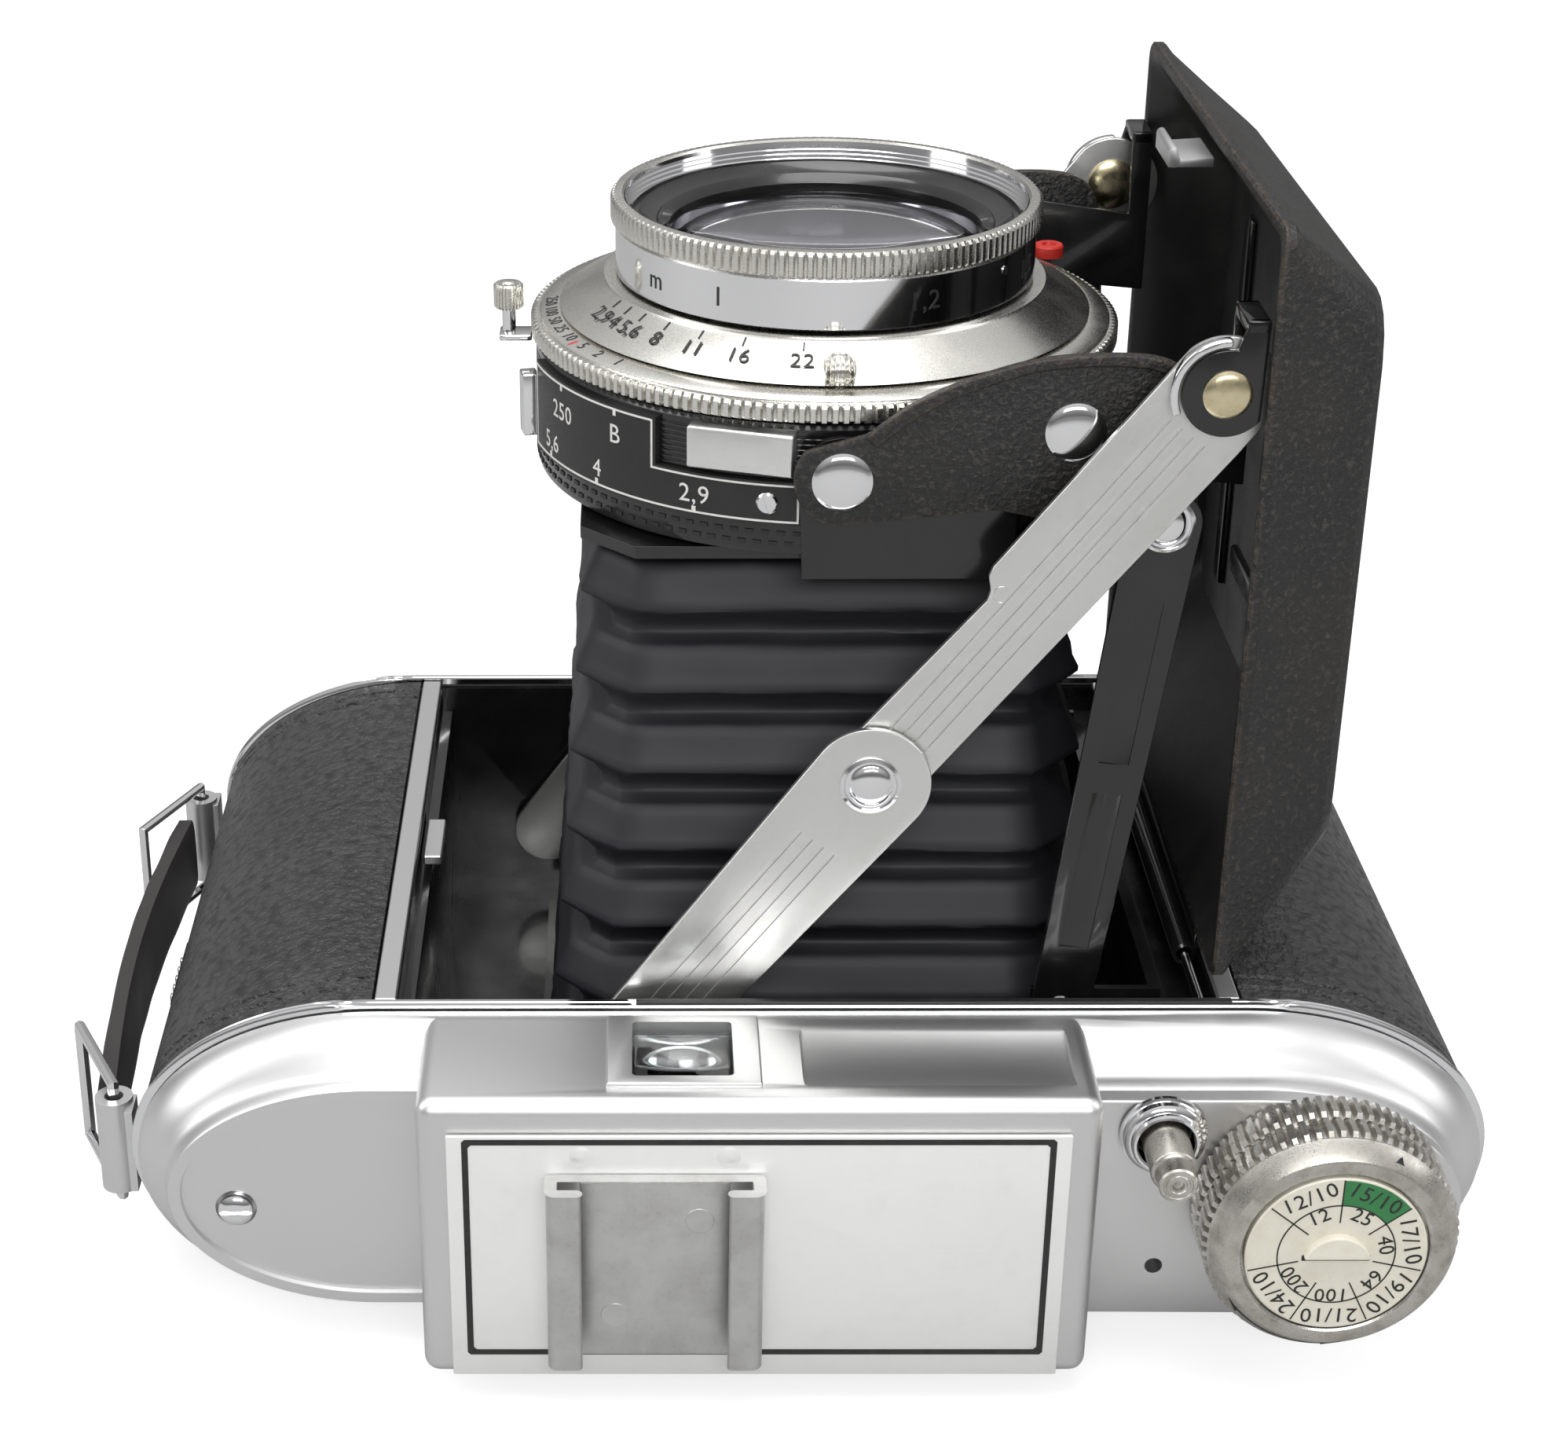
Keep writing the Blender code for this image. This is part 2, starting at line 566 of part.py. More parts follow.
def make_door():
    """The folding bed: a pressed pan with its hinge tube, latch hook and linkage brackets."""
    pivot = (HINGE[0], 0.0, HINGE[1])
    rim, floor = DOOR_RIM, DOOR_RIM + DOOR_DEPTH
    loops = [
        bed_loop(floor - SKIN, 50.6, 104.5, 32.6),
        bed_loop(rim, DOOR_LOW + SKIN, DOOR_TIP - SKIN, DOOR_HALF - SKIN),
        bed_loop(rim, DOOR_LOW, DOOR_TIP, DOOR_HALF),
        bed_loop(rim + 1.3, DOOR_LOW, DOOR_TIP, DOOR_HALF),
        bed_loop(floor, 49.3, 106.0, 33.8),
    ]
    door = finish("folding_door", loft(loops), "crackle_black", pivot)
    join(door, "knuckle_web", box((rim, -28, HINGE[1] + 0.2), (rim + 0.8, 28, DOOR_LOW + 0.6)))
    join(door, "knuckle", disc(1.2, -28, 28, 20, HINGE, "Y"))
    cut(door, "pin_way", disc(0.8, -40, 40, 20, HINGE, "Y"))
    finish("door_hinge_pin", disc(0.5, -WELL_HALF + GAP, WELL_HALF - GAP, 12, HINGE, "Y"), "bright_chrome")
    hook = [(33.9, 111.0), (33.9, 113.0), (35.1, 113.0), (35.1, 111.9), (38.2, 111.9), (38.2, 111.0)]
    finish("door_hook", prism(hook, -4, 4), "satin_chrome", pivot)
    for side in (-1, 1):
        name = side_name(side)
        low, high = sided(EAR_LAYER, side)
        ear_outline = arc(EAR, 4.2, 80, 321, 12) + [(38.2, 105.6), (36.4, 105.6)]
        bracket = finish(f"door_bracket_{name}", prism(ear_outline, low, high), "gloss_black", pivot)
        low, high = sided(LUG_LAYER, side)
        neck = [(38.2, 87.5), (38.2, 105.6), (36.2, 105.6), (36.2, 96.4)]
        lug = arc(ARM_DOOR, 5.2, 80, 300, 10) + neck
        join(bracket, "arm_lug", prism(lug, low, high))
        low, high = sided((LUG_LAYER[0], EAR_LAYER[1]), side)
        join(bracket, "web", box((36.2, low, 104.3), (38.2, high, 105.6)))
        join(bracket, "ear_rivet", rivet_head(EAR, 2.2, EAR_LAYER, side))
    catch = box((-43.3, -4.5, 31.9), (-41.3, 4.5, 33.0))
    finish("door_catch", catch, "satin_chrome")


def make_linkage():
    """The diagonal braces, the black links and the crackle-finished lens arms, near and far."""
    ex, ez = EAR
    mx, mz = BRACE_MIDDLE
    length = math.hypot(mx - ex, mz - ez)
    along = ((mx - ex) / length, (mz - ez) / length)
    across = (along[1], -along[0])

    def on_brace(distance, offset):
        """A place on the upper brace, measured from the ear pivot along it and to its left edge."""
        return (
            ex + along[0] * distance + across[0] * offset,
            ez + along[1] * distance + across[1] * offset,
        )

    heading = math.degrees(math.atan2(along[1], along[0]))
    upper = (
        arc(EAR, 5.2, heading + 100, heading + 260, 8)
        + [on_brace(27.0, 5.3), on_brace(29.0, 3.4)]
        + arc(BRACE_MIDDLE, 4.4, heading - 90, heading + 90, 8)
        + [on_brace(4.0, -5.2)]
    )
    lower = bar_outline(BRACE_FOOT, BRACE_MIDDLE, 4.3, 6.0)
    arm = (
        arc(ARM_LENS, 4.6, 150, 270, 6)
        + [(14.9, 85.4)]
        + arc(LINK_TOP, 3.6, 260, 350, 4)
        + [(33.0, 97.5), (30.0, 100.6), (16.3, 100.2), (7.0, 96.4), (2.4, 93.0)]
    )
    for side in (-1, 1):
        name = side_name(side)
        pivots = {
            "ear": (EAR[0], 0.0, EAR[1]),
            "foot": (BRACE_FOOT[0], 0.0, BRACE_FOOT[1]),
            "link": (LINK_FOOT[0], 0.0, LINK_FOOT[1]),
            "arm": (ARM_DOOR[0], 0.0, ARM_DOOR[1]),
        }
        finish(f"upper_brace_{name}", prism(upper, *sided(UPPER_BRACE_LAYER, side)), "satin_chrome", pivots["ear"])
        brace = finish(f"lower_brace_{name}", prism(lower, *sided(EAR_LAYER, side)), "satin_chrome", pivots["foot"])
        join(brace, "rivet", rivet_head(BRACE_MIDDLE, 2.9, EAR_LAYER, side))
        link_outline = bar_outline(LINK_FOOT, LINK_TOP, 3.0, 3.5)
        link = finish(f"bed_link_{name}", prism(link_outline, *sided(LINK_LAYER, side)), "gloss_black", pivots["link"])
        join(link, "rivet", rivet_head(LINK_TOP, 2.8, LINK_LAYER, side))
        plate = finish(f"lens_arm_{name}", prism(arm, *sided(ARM_LAYER, side)), "crackle_black", pivots["arm"])
        join(plate, "lens_rivet", rivet_head(ARM_LENS, 2.8, ARM_LAYER, side))
        join(plate, "door_rivet", rivet_head(ARM_DOOR, 2.8, ARM_LAYER, side))


# ---- lens and shutter -------------------------------------------------------------------------------


def make_bellows():
    """The folded leather bellows, a tapering tube of zig-zag walls from the gate to the lens board."""
    low, high, folds, thickness, fold_depth = BELLOWS_LOW, BOARD_LOW - GAP, 8, 0.8, 2.2

    def loop(height, depth):
        """A chamfered rectangle round the bellows at one height, drawn in by a depth."""
        share = (height - low) / (high - low)
        half_x, half_y = 29.6 - 5.0 * share - depth, 30.0 - 4.4 * share - depth
        corner = 4.0
        return [
            (half_x - corner, -half_y, height),
            (half_x, -half_y + corner, height),
            (half_x, half_y - corner, height),
            (half_x - corner, half_y, height),
            (corner - half_x, half_y, height),
            (-half_x, half_y - corner, height),
            (-half_x, corner - half_y, height),
            (corner - half_x, -half_y, height),
        ]

    heights = [low + (high - low) * step / (2 * folds) for step in range(2 * folds + 1)]
    outer = [loop(height, fold_depth * (index % 2 == 0)) for index, height in enumerate(heights)]
    inner = [loop(height, thickness + fold_depth * (index % 2 == 0)) for index, height in enumerate(heights)]
    finish("bellows", loft(outer + inner[::-1], closed=True), "bellows_leather")


def barrel_band(start, end, low, high):
    """A thin curved plate round the shutter barrel between two angles in degrees."""
    inner = arc((0.0, 0.0), BARREL_RADIUS + 0.25, start, end, 8)
    outer = arc((0.0, 0.0), BARREL_RADIUS + 0.8, start, end, 8)
    return loft([[(x, y, z) for x, y in inner + outer[::-1]] for z in (low, high)])


def make_standard():
    """The lens board with its side lugs, and the shutter built up on it."""
    pivot = (ARM_LENS[0], 0.0, ARM_LENS[1])
    half_x, half_y, corner = 25.0, 26.0, 5.5
    edge = [(half_x - corner, -half_y), (half_x, corner - half_y), (half_x, half_y - corner), (half_x - corner, half_y)]
    edge += [(-x, -y) for x, y in edge]
    levels = (BOARD_LOW, BARREL_LOW - GAP)
    board = finish("lens_board", loft([[(x, y, z) for x, y in edge] for z in levels]), "gloss_black", pivot)
    join(board, "flange", box((-3.4, -30.8, levels[0]), (17.0, 30.8, levels[1])))
    cut(board, "lens_way", disc(16.0, 70, 82, 40))
    for side in (-1, 1):
        low, high = sided(LUG_LAYER, side)
        lug = arc(ARM_LENS, 4.0, 0, 180, 8) + [(-3.4, BOARD_LOW), (17.0, BOARD_LOW), (17.0, 84.6)]
        join(board, f"lug_{side_name(side)}", prism(lug, low, high))
    barrel = [
        (17.5, BARREL_LOW),
        (BARREL_RADIUS - 0.8, BARREL_LOW),
        (BARREL_RADIUS, BARREL_LOW + 0.8),
        (BARREL_RADIUS, BARREL_TOP),
        (17.5, BARREL_TOP),
    ]
    finish("shutter_housing", turned(barrel, 56), "gloss_black", pivot)
    rear = [(11.0, 72.0), (13.0, 72.0), (15.6, 76.0), (15.6, 91.0), (14.2, 91.0), (14.2, 77.0), (11.0, 74.5)]
    finish("rear_lens_barrel", turned(rear, 36), "gloss_black", pivot)
    finish("shutter_blades", disc(13.9, 84.0, 84.6, 36), "satin_chrome", pivot)
    finish("scale_plate", barrel_band(210.0, 241.5, 83.6, 92.2), "gloss_black", pivot)
    join(bpy.data.objects["scale_plate"], "low_step", barrel_band(241.0, 261.0, 83.6, 86.8))
    block = box((-4.8, -31.0, 87.4), (4.8, -30.15, 92.2))
    bmesh.ops.rotate(block, matrix=Matrix.Rotation(math.radians(-17.0), 3, "Z"), verts=block.verts)
    finish("contact_block", block, "brushed_aluminium", pivot)


def make_rings():
    """The knurled speed ring, the coned aperture ring with its grip and the focusing ring with its glass."""
    speed = [
        (26.2, BARREL_TOP + GAP),
        (SPEED_RADIUS, BARREL_TOP + GAP),
        (SPEED_RADIUS, SPEED_TOP),
        (26.2, SPEED_TOP),
    ]
    finish("speed_ring", turned(speed, 56), "satin_chrome")
    cone = [
        (18.0, SPEED_TOP + GAP),
        (29.2, SPEED_TOP + GAP),
        (29.2, SPEED_TOP + 0.8),
        (CONE_RADIUS + 0.6, CONE_TOP),
        (18.0, CONE_TOP),
    ]
    ring = finish("aperture_ring", turned(cone, 56), "satin_chrome")
    join(ring, "grip", box((-1.4, -28.0, 96.0), (1.4, -25.4, 99.2), 0.4))
    focus_low, wall = CONE_TOP + GAP, 20.4
    focus = [
        (17.0, focus_low),
        (FOCUS_RADIUS - 0.5, focus_low),
        (FOCUS_RADIUS - 0.5, KNURL_LOW),
        (FOCUS_RADIUS, KNURL_LOW + 0.2),
        (FOCUS_RADIUS, FOCUS_TOP - 0.3),
        (FOCUS_RADIUS - 0.4, FOCUS_TOP),
        (wall + 0.4, FOCUS_TOP),
        (wall, FOCUS_TOP - 1.0),
        (wall, 102.8),
        (17.0, 102.8),
    ]
    finish("focus_ring", turned(focus, 56), "bright_chrome")
    retaining = [(16.2, 103.1), (wall - GAP, 103.1), (wall - GAP, 105.6), (19.0, 105.6), (16.2, 103.9)]
    finish("retaining_ring", turned(retaining, 48), "gloss_black")
    dome = [(GLASS_RADIUS * math.cos(a), 101.6 + 3.0 * math.sin(a)) for a in [math.radians(15 * s) for s in range(7)]]
    finish("front_lens", turned([(0, 100.0), (GLASS_RADIUS, 100.0)] + dome[:-1] + [(0, 104.6)], 40), "glass")


def make_levers():
    """The cocking lever with its knurled head, and the thin setting lever under it."""
    lever = finish("cocking_lever", box((-33.6, -1.6, 92.2), (-30.3, 1.6, 92.9)), "bright_chrome")
    join(lever, "post", disc(0.7, 92.4, 95.6, 12, (-32.6, 0.0)))
    join(lever, "head", disc(1.5, 95.4, 98.0, 16, (-32.6, 0.0)))
    turn = Matrix.Rotation(math.radians(12.0), 3, "Z")
    blade = finish("setting_lever", box((-31.9, -1.1, 84.0), (-30.2, 1.1, 90.6)), "bright_chrome")
    blade.data.transform(turn.to_4x4())


def clear_scene():
    """Removes whatever the scene holds."""
    for found in list(bpy.data.objects):
        bpy.data.objects.remove(found)


clear_scene()
MATERIALS = make_materials()
make_body_shell()
make_trims()
make_leathers()
make_back()
make_strap()
make_top_housing()
make_name_plate_and_shoe()
make_release()
make_winding()
make_base()
make_door()
make_linkage()
make_bellows()
make_standard()
make_rings()
make_levers()
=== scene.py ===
"""Looks of a folding roll-film camera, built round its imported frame.

Lengths are in millimetres in the frame's own axes: +X to the right along the body, +Z the way the lens
looks, and -Y the side with the top housing. A finished mesh is scaled to metres.
"""

import logging
import math
from collections.abc import Callable, Sequence
from dataclasses import dataclass, field
from enum import Enum

import bmesh
import bpy
from mathutils import Matrix, Vector, noise


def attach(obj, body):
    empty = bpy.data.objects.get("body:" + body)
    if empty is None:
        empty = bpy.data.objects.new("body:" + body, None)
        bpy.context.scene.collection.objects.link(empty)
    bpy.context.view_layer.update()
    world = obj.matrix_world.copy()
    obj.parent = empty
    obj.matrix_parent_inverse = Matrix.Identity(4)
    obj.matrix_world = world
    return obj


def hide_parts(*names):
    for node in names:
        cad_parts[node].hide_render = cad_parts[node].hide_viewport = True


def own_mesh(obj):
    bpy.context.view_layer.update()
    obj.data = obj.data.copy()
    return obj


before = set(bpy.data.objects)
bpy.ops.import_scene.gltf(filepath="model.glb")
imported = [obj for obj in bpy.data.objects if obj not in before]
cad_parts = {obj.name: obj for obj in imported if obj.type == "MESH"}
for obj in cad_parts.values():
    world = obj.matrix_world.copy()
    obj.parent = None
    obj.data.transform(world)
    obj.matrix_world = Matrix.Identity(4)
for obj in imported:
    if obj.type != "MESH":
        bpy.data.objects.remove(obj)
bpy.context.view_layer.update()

MM = 0.001
LOG = logging.getLogger("camera")

Colour = tuple[float, float, float]
Flat = tuple[float, float]
Point = tuple[float, float, float]


# ---- finishes ---------------------------------------------------------------------------------------


class Wiring:
    """Short calls for adding nodes to a tree and wiring them."""

    def __init__(self, tree: bpy.types.NodeTree) -> None:
        """Keeps the tree that the nodes go into."""
        self.tree = tree

    def add(self, kind: str, settings: dict | None = None, inputs: dict | None = None) -> bpy.types.Node:
        """Adds one node.

        Args:
            kind: the node's type.
            settings: attributes to set on it.
            inputs: what each input takes, by name or place: another node's output or a value.

        Returns:
            The new node.
        """
        node = self.tree.nodes.new(kind)
        for key, value in (settings or {}).items():
            setattr(node, key, value)
        for key, value in (inputs or {}).items():
            if isinstance(value, bpy.types.NodeSocket):
                self.tree.links.new(value, node.inputs[key])
            else:
                node.inputs[key].default_value = value
        return node

    def math(self, operation: str, first: object, second: object = 0.0) -> bpy.types.NodeSocket:
        """Adds a Math node and gives its value."""
        return self.add("ShaderNodeMath", {"operation": operation}, {0: first, 1: second}).outputs[0]

    def mix(self, share: object, first: object, second: object) -> bpy.types.NodeSocket:
        """Adds a colour mix and gives its colour."""
        inputs = {0: share, 6: first, 7: second}
        return self.add("ShaderNodeMix", {"data_type": "RGBA"}, inputs).outputs[2]

    def ramp(self, value: object, low: float, high: float, to: Flat = (0.0, 1.0)) -> bpy.types.NodeSocket:
        """Adds a clamped Map Range from (low, high) and gives its value."""
        inputs = {"Value": value, "From Min": low, "From Max": high, "To Min": to[0], "To Max": to[1]}
        return self.add("ShaderNodeMapRange", {}, inputs).outputs[0]

    def noise(
        self, vector: object, scale: float, detail: float, distortion: float = 0.0
    ) -> bpy.types.NodeSocket:
        """Adds a noise texture and gives its value."""
        inputs = {"Vector": vector, "Scale": scale, "Detail": detail, "Distortion": distortion}
        return self.add("ShaderNodeTexNoise", {}, inputs).outputs[0]

    def cells(self, vector: object, scale: float, feature: str = "SMOOTH_F1") -> bpy.types.NodeSocket:
        """Adds a Voronoi texture and gives its distance."""
        inputs = {"Vector": vector, "Scale": scale}
        return self.add("ShaderNodeTexVoronoi", {"feature": feature}, inputs).outputs["Distance"]


def shader_group(name: str, outputs: Sequence[str], build: Callable) -> bpy.types.NodeTree:
    """A node group that takes a position in grain sizes and puts out values; it is made once.

    Args:
        name: the group's name.
        outputs: the names of its values.
        build: takes the group's Wiring and its Vector, and returns a socket for each output.

    Returns:
        The group's tree.
    """
    if name in bpy.data.node_groups:
        return bpy.data.node_groups[name]
    tree = bpy.data.node_groups.new(name, "ShaderNodeTree")
    tree.interface.new_socket("Vector", in_out="INPUT", socket_type="NodeSocketVector")
    for output in outputs:
        tree.interface.new_socket(output, in_out="OUTPUT", socket_type="NodeSocketFloat")
    wiring = Wiring(tree)
    entry = wiring.add("NodeGroupInput")
    made = build(wiring, entry.outputs[0])
    wiring.add("NodeGroupOutput", {}, dict(enumerate(made)))
    return tree


def satin_grain(wiring: Wiring, vector: bpy.types.NodeSocket) -> tuple:
    """A fine bead-blasted tooth."""
    tooth = wiring.noise(vector, 1.0, 3.0)
    return tooth, wiring.ramp(tooth, 0.35, 0.65)


def brushed_grain(wiring: Wiring, vector: bpy.types.NodeSocket) -> tuple:
    """Fine parallel lines, where the vector is already stretched along them."""
    fine = wiring.noise(vector, 1.0, 4.0)
    broad = wiring.noise(vector, 0.21, 2.0)
    return wiring.math("ADD", fine, wiring.math("MULTIPLY", broad, 0.5)), wiring.ramp(fine, 0.35, 0.68)


def pebble_grain(wiring: Wiring, vector: bpy.types.NodeSocket) -> tuple:
    """Rounded pebbles of two sizes with narrow valleys, as pressed into covering leather."""
    warp = wiring.add("ShaderNodeTexNoise", {}, {"Vector": vector, "Scale": 0.55, "Detail": 2.0})
    shift = wiring.add("ShaderNodeVectorMath", {"operation": "MULTIPLY_ADD"})
    wiring.tree.links.new(warp.outputs[1], shift.inputs[0])
    shift.inputs[1].default_value = (1.6, 1.6, 1.6)
    wiring.tree.links.new(vector, shift.inputs[2])
    large = wiring.cells(shift.outputs[0], 1.0)
    small = wiring.cells(shift.outputs[0], 2.3, "F1")
    bumps = wiring.math("ADD", wiring.math("MULTIPLY", large, -1.0), wiring.math("MULTIPLY", small, -0.35))
    height = wiring.math("ADD", bumps, wiring.math("MULTIPLY", wiring.noise(vector, 3.0, 3.0), 0.3))
    # The second value marks the valleys between pebbles, where the covering gets its painted shade.
    return height, wiring.ramp(large, 0.35, 0.75)


def crease_grain(wiring: Wiring, vector: bpy.types.NodeSocket) -> tuple:
    """Soft wrinkles crossed by fine cracks, as in thin glossy leather that folds."""
    wrinkle = wiring.noise(vector, 0.5, 6.0, 1.4)
    crack = wiring.ramp(wiring.cells(vector, 1.6, "DISTANCE_TO_EDGE"), 0.0, 0.12)
    height = wiring.math("ADD", wiring.math("MULTIPLY", wrinkle, 1.5), wiring.math("MULTIPLY", crack, 0.35))
    return height, wiring.ramp(wrinkle, 0.4, 0.66)


def crackle_grain(wiring: Wiring, vector: bpy.types.NodeSocket) -> tuple:
    """The coarse tooth of crackle enamel; its second value marks the raised tooth, where the crackle finish
    gets a painted highlight.
    """
    tooth = wiring.noise(vector, 1.0, 7.0, 0.4)
    return tooth, wiring.ramp(tooth, 0.55, 0.72)


def smooth_grain(wiring: Wiring, vector: bpy.types.NodeSocket) -> tuple:
    """The slight waviness of polish or paint."""
    wave = wiring.noise(vector, 0.3, 2.0)
    return wave, wiring.ramp(wave, 0.3, 0.7)


class Grain(Enum):
    """The fine relief of a surface, by the function that wires it."""

    SATIN = "satin_grain"
    BRUSHED = "brushed_grain"
    PEBBLE = "pebble_grain"
    CREASE = "crease_grain"
    CRACKLE = "crackle_grain"
    SMOOTH = "smooth_grain"


GRAIN_WIRING: dict[Grain, Callable] = {
    Grain.SATIN: satin_grain,
    Grain.BRUSHED: brushed_grain,
    Grain.PEBBLE: pebble_grain,
    Grain.CREASE: crease_grain,
    Grain.CRACKLE: crackle_grain,
    Grain.SMOOTH: smooth_grain,
}


# Cloudy patch mask for discolouring; on the bellows it also lays on a painted bluish reflection.
def stain_and_reflection_patches(wiring: Wiring, vector: bpy.types.NodeSocket) -> tuple:
    """Cloudy patches with finer spots inside them."""
    cloud = wiring.noise(vector, 1.0, 5.0, 0.3)
    spots = wiring.noise(vector, 7.0, 4.0)
    return wiring.ramp(cloud, 0.42, 0.7), wiring.math("MULTIPLY", wiring.ramp(spots, 0.52, 0.72), cloud)


def rubbed_edges(wiring: Wiring, vector: bpy.types.NodeSocket) -> tuple:
    """Where a corner has been rubbed: the rounded normal leaves the true one there."""
    round_normal = wiring.add("ShaderNodeBevel", {"samples": 4}, {"Radius": 0.0007}).outputs[0]
    true_normal = wiring.add("ShaderNodeNewGeometry").outputs["Normal"]
    dot = wiring.add("ShaderNodeVectorMath", {"operation": "DOT_PRODUCT"}, {0: round_normal, 1: true_normal})
    edge = wiring.ramp(dot.outputs["Value"], 0.995, 0.86)
    return (wiring.math("MULTIPLY", edge, wiring.ramp(wiring.noise(vector, 1.0, 4.0), 0.38, 0.6)),)


@dataclass(frozen=True)
class Finish:
    """One surface finish.

    Attributes:
        name: the material's name.
        slot: the record's material slot; not used.
        colour: linear base colour.
        stain_and_reflection: colour of the cloudy patches and spots: real discolouring, and on the bellows a
            bluish painted reflection.
        roughness: lowest and highest roughness over the surface.
        metallic: 1 for a metal.
        grain: the kind of fine relief.
        cell: size of the grain.
        relief: height of the grain.
        stretch: how many times shorter the grain is along each axis.
        painted_grain_shading: painted light and shade on the grain, where it is used: a painted highlight on
            the crackle's raised tooth and painted shade in the covering's valleys.
        patch: size of the patches, both the real discolouring and the bellows' painted reflection.
        stain_and_reflection_strength: how strongly the patches show, and on the bellows how strongly the
            painted reflection shows.
        worn: colour of rubbed edges, where the finish wears.
        coat: clear coat weight.
        anisotropy: stretch of the highlight on a turned metal.
    """

    name: str
    slot: str
    colour: Colour
    stain_and_reflection: Colour
    roughness: Flat
    metallic: float = 0.0
    grain: Grain = Grain.SMOOTH
    cell: float = 0.5
    relief: float = 0.004
    stretch: Point = (1.0, 1.0, 1.0)
    painted_grain_shading: Colour | None = None
    patch: float = 14.0
    stain_and_reflection_strength: float = 0.3
    worn: Colour | None = None
    coat: float = 0.0
    anisotropy: float = 0.0

    def scaled(self, wiring: Wiring, size: float, stretch: Point = (1.0, 1.0, 1.0)) -> bpy.types.NodeSocket:
        """The position on the piece, in units of a size."""
        place = wiring.add("ShaderNodeTexCoord").outputs["Object"]
        scale = [share / (size * MM) for share in stretch]
        return wiring.add("ShaderNodeMapping", {}, {"Vector": place, "Scale": scale}).outputs[0]

    def effect(
        self, wiring: Wiring, name: str, outputs: Sequence[str], build: Callable, vector: object
    ) -> object:
        """Places a shader group and gives its outputs."""
        tree = shader_group(name, outputs, build)
        return wiring.add("ShaderNodeGroup", {"node_tree": tree}, {"Vector": vector}).outputs

    def material(self) -> bpy.types.Material:
        """Builds the material the first time it is asked for.

        Returns:
            The material.
        """
        if self.name in bpy.data.materials:
            return bpy.data.materials[self.name]
        made = bpy.data.materials.new(self.name)
        made.use_nodes = True
        wiring = Wiring(made.node_tree)
        shader = made.node_tree.nodes["Principled BSDF"]
        stain_and_reflection_masks = self.effect(
            wiring, "stain_and_reflection_patches", ("Cloud", "Spots"), stain_and_reflection_patches, self.scaled(wiring, self.patch)
        )
        grain = self.effect(
            wiring,
            self.grain.value,
            ("Height", "Peak"),
            GRAIN_WIRING[self.grain],
            self.scaled(wiring, self.cell, self.stretch),
        )
        # Mixes in the patch colour: real discolouring, and on the bellows a painted bluish reflection.
        share = wiring.math("MULTIPLY", wiring.math("ADD", stain_and_reflection_masks["Cloud"], stain_and_reflection_masks["Spots"]), self.stain_and_reflection_strength)
        base = wiring.mix(share, (*self.colour, 1.0), (*self.stain_and_reflection, 1.0))
        # Painted light and shade on the grain: a painted highlight on the crackle's raised tooth and painted
        # shade in the covering's valleys.
        if self.painted_grain_shading:
            base = wiring.mix(grain["Peak"], base, (*self.painted_grain_shading, 1.0))
        if self.worn:
            rubbed = self.effect(wiring, "rubbed_edges", ("Rubbed",), rubbed_edges, self.scaled(wiring, 1.1))
            base = wiring.mix(rubbed["Rubbed"], base, (*self.worn, 1.0))
        rough = wiring.ramp(wiring.math("ADD", stain_and_reflection_masks["Cloud"], grain["Peak"]), 0.0, 1.6, self.roughness)
        distance = self.relief * MM
        bump = wiring.add(
            "ShaderNodeBump", {}, {"Height": grain["Height"], "Distance": distance, "Strength": 1.0}
        )
        links = made.node_tree.links
        links.new(base, shader.inputs["Base Color"])
        links.new(rough, shader.inputs["Roughness"])
        links.new(bump.outputs[0], shader.inputs["Normal"])
        shader.inputs["Metallic"].default_value = self.metallic
        shader.inputs["Coat Weight"].default_value = self.coat
        shader.inputs["Coat Roughness"].default_value = 0.06
        shader.inputs["Anisotropic"].default_value = self.anisotropy
        return made


@dataclass(frozen=True)
class Glass:
    """A clear or tinted glass with faint smears.

    Attributes:
        name: the material's name.
        slot: the record's material slot; not used.
        tint: linear colour of the glass.
        index: refractive index.
        smear: highest roughness, in the smears.
    """

    name: str
    slot: str
    tint: Colour
    index: float = 1.52
    smear: float = 0.05

    def material(self) -> bpy.types.Material:
        """Builds the material the first time it is asked for.

        Returns:
            The material.
        """
        if self.name in bpy.data.materials:
            return bpy.data.materials[self.name]
        made = bpy.data.materials.new(self.name)
        made.use_nodes = True
        wiring = Wiring(made.node_tree)
        shader = made.node_tree.nodes["Principled BSDF"]
        place = wiring.add("ShaderNodeTexCoord").outputs["Object"]
        rough = wiring.ramp(wiring.noise(place, 160.0, 4.0), 0.45, 0.75, (0.0, self.smear))
        made.node_tree.links.new(rough, shader.inputs["Roughness"])
        shader.inputs["Base Color"].default_value = (*self.tint, 1.0)
        shader.inputs["Transmission Weight"].default_value = 1.0
        shader.inputs["IOR"].default_value = self.index
        return made


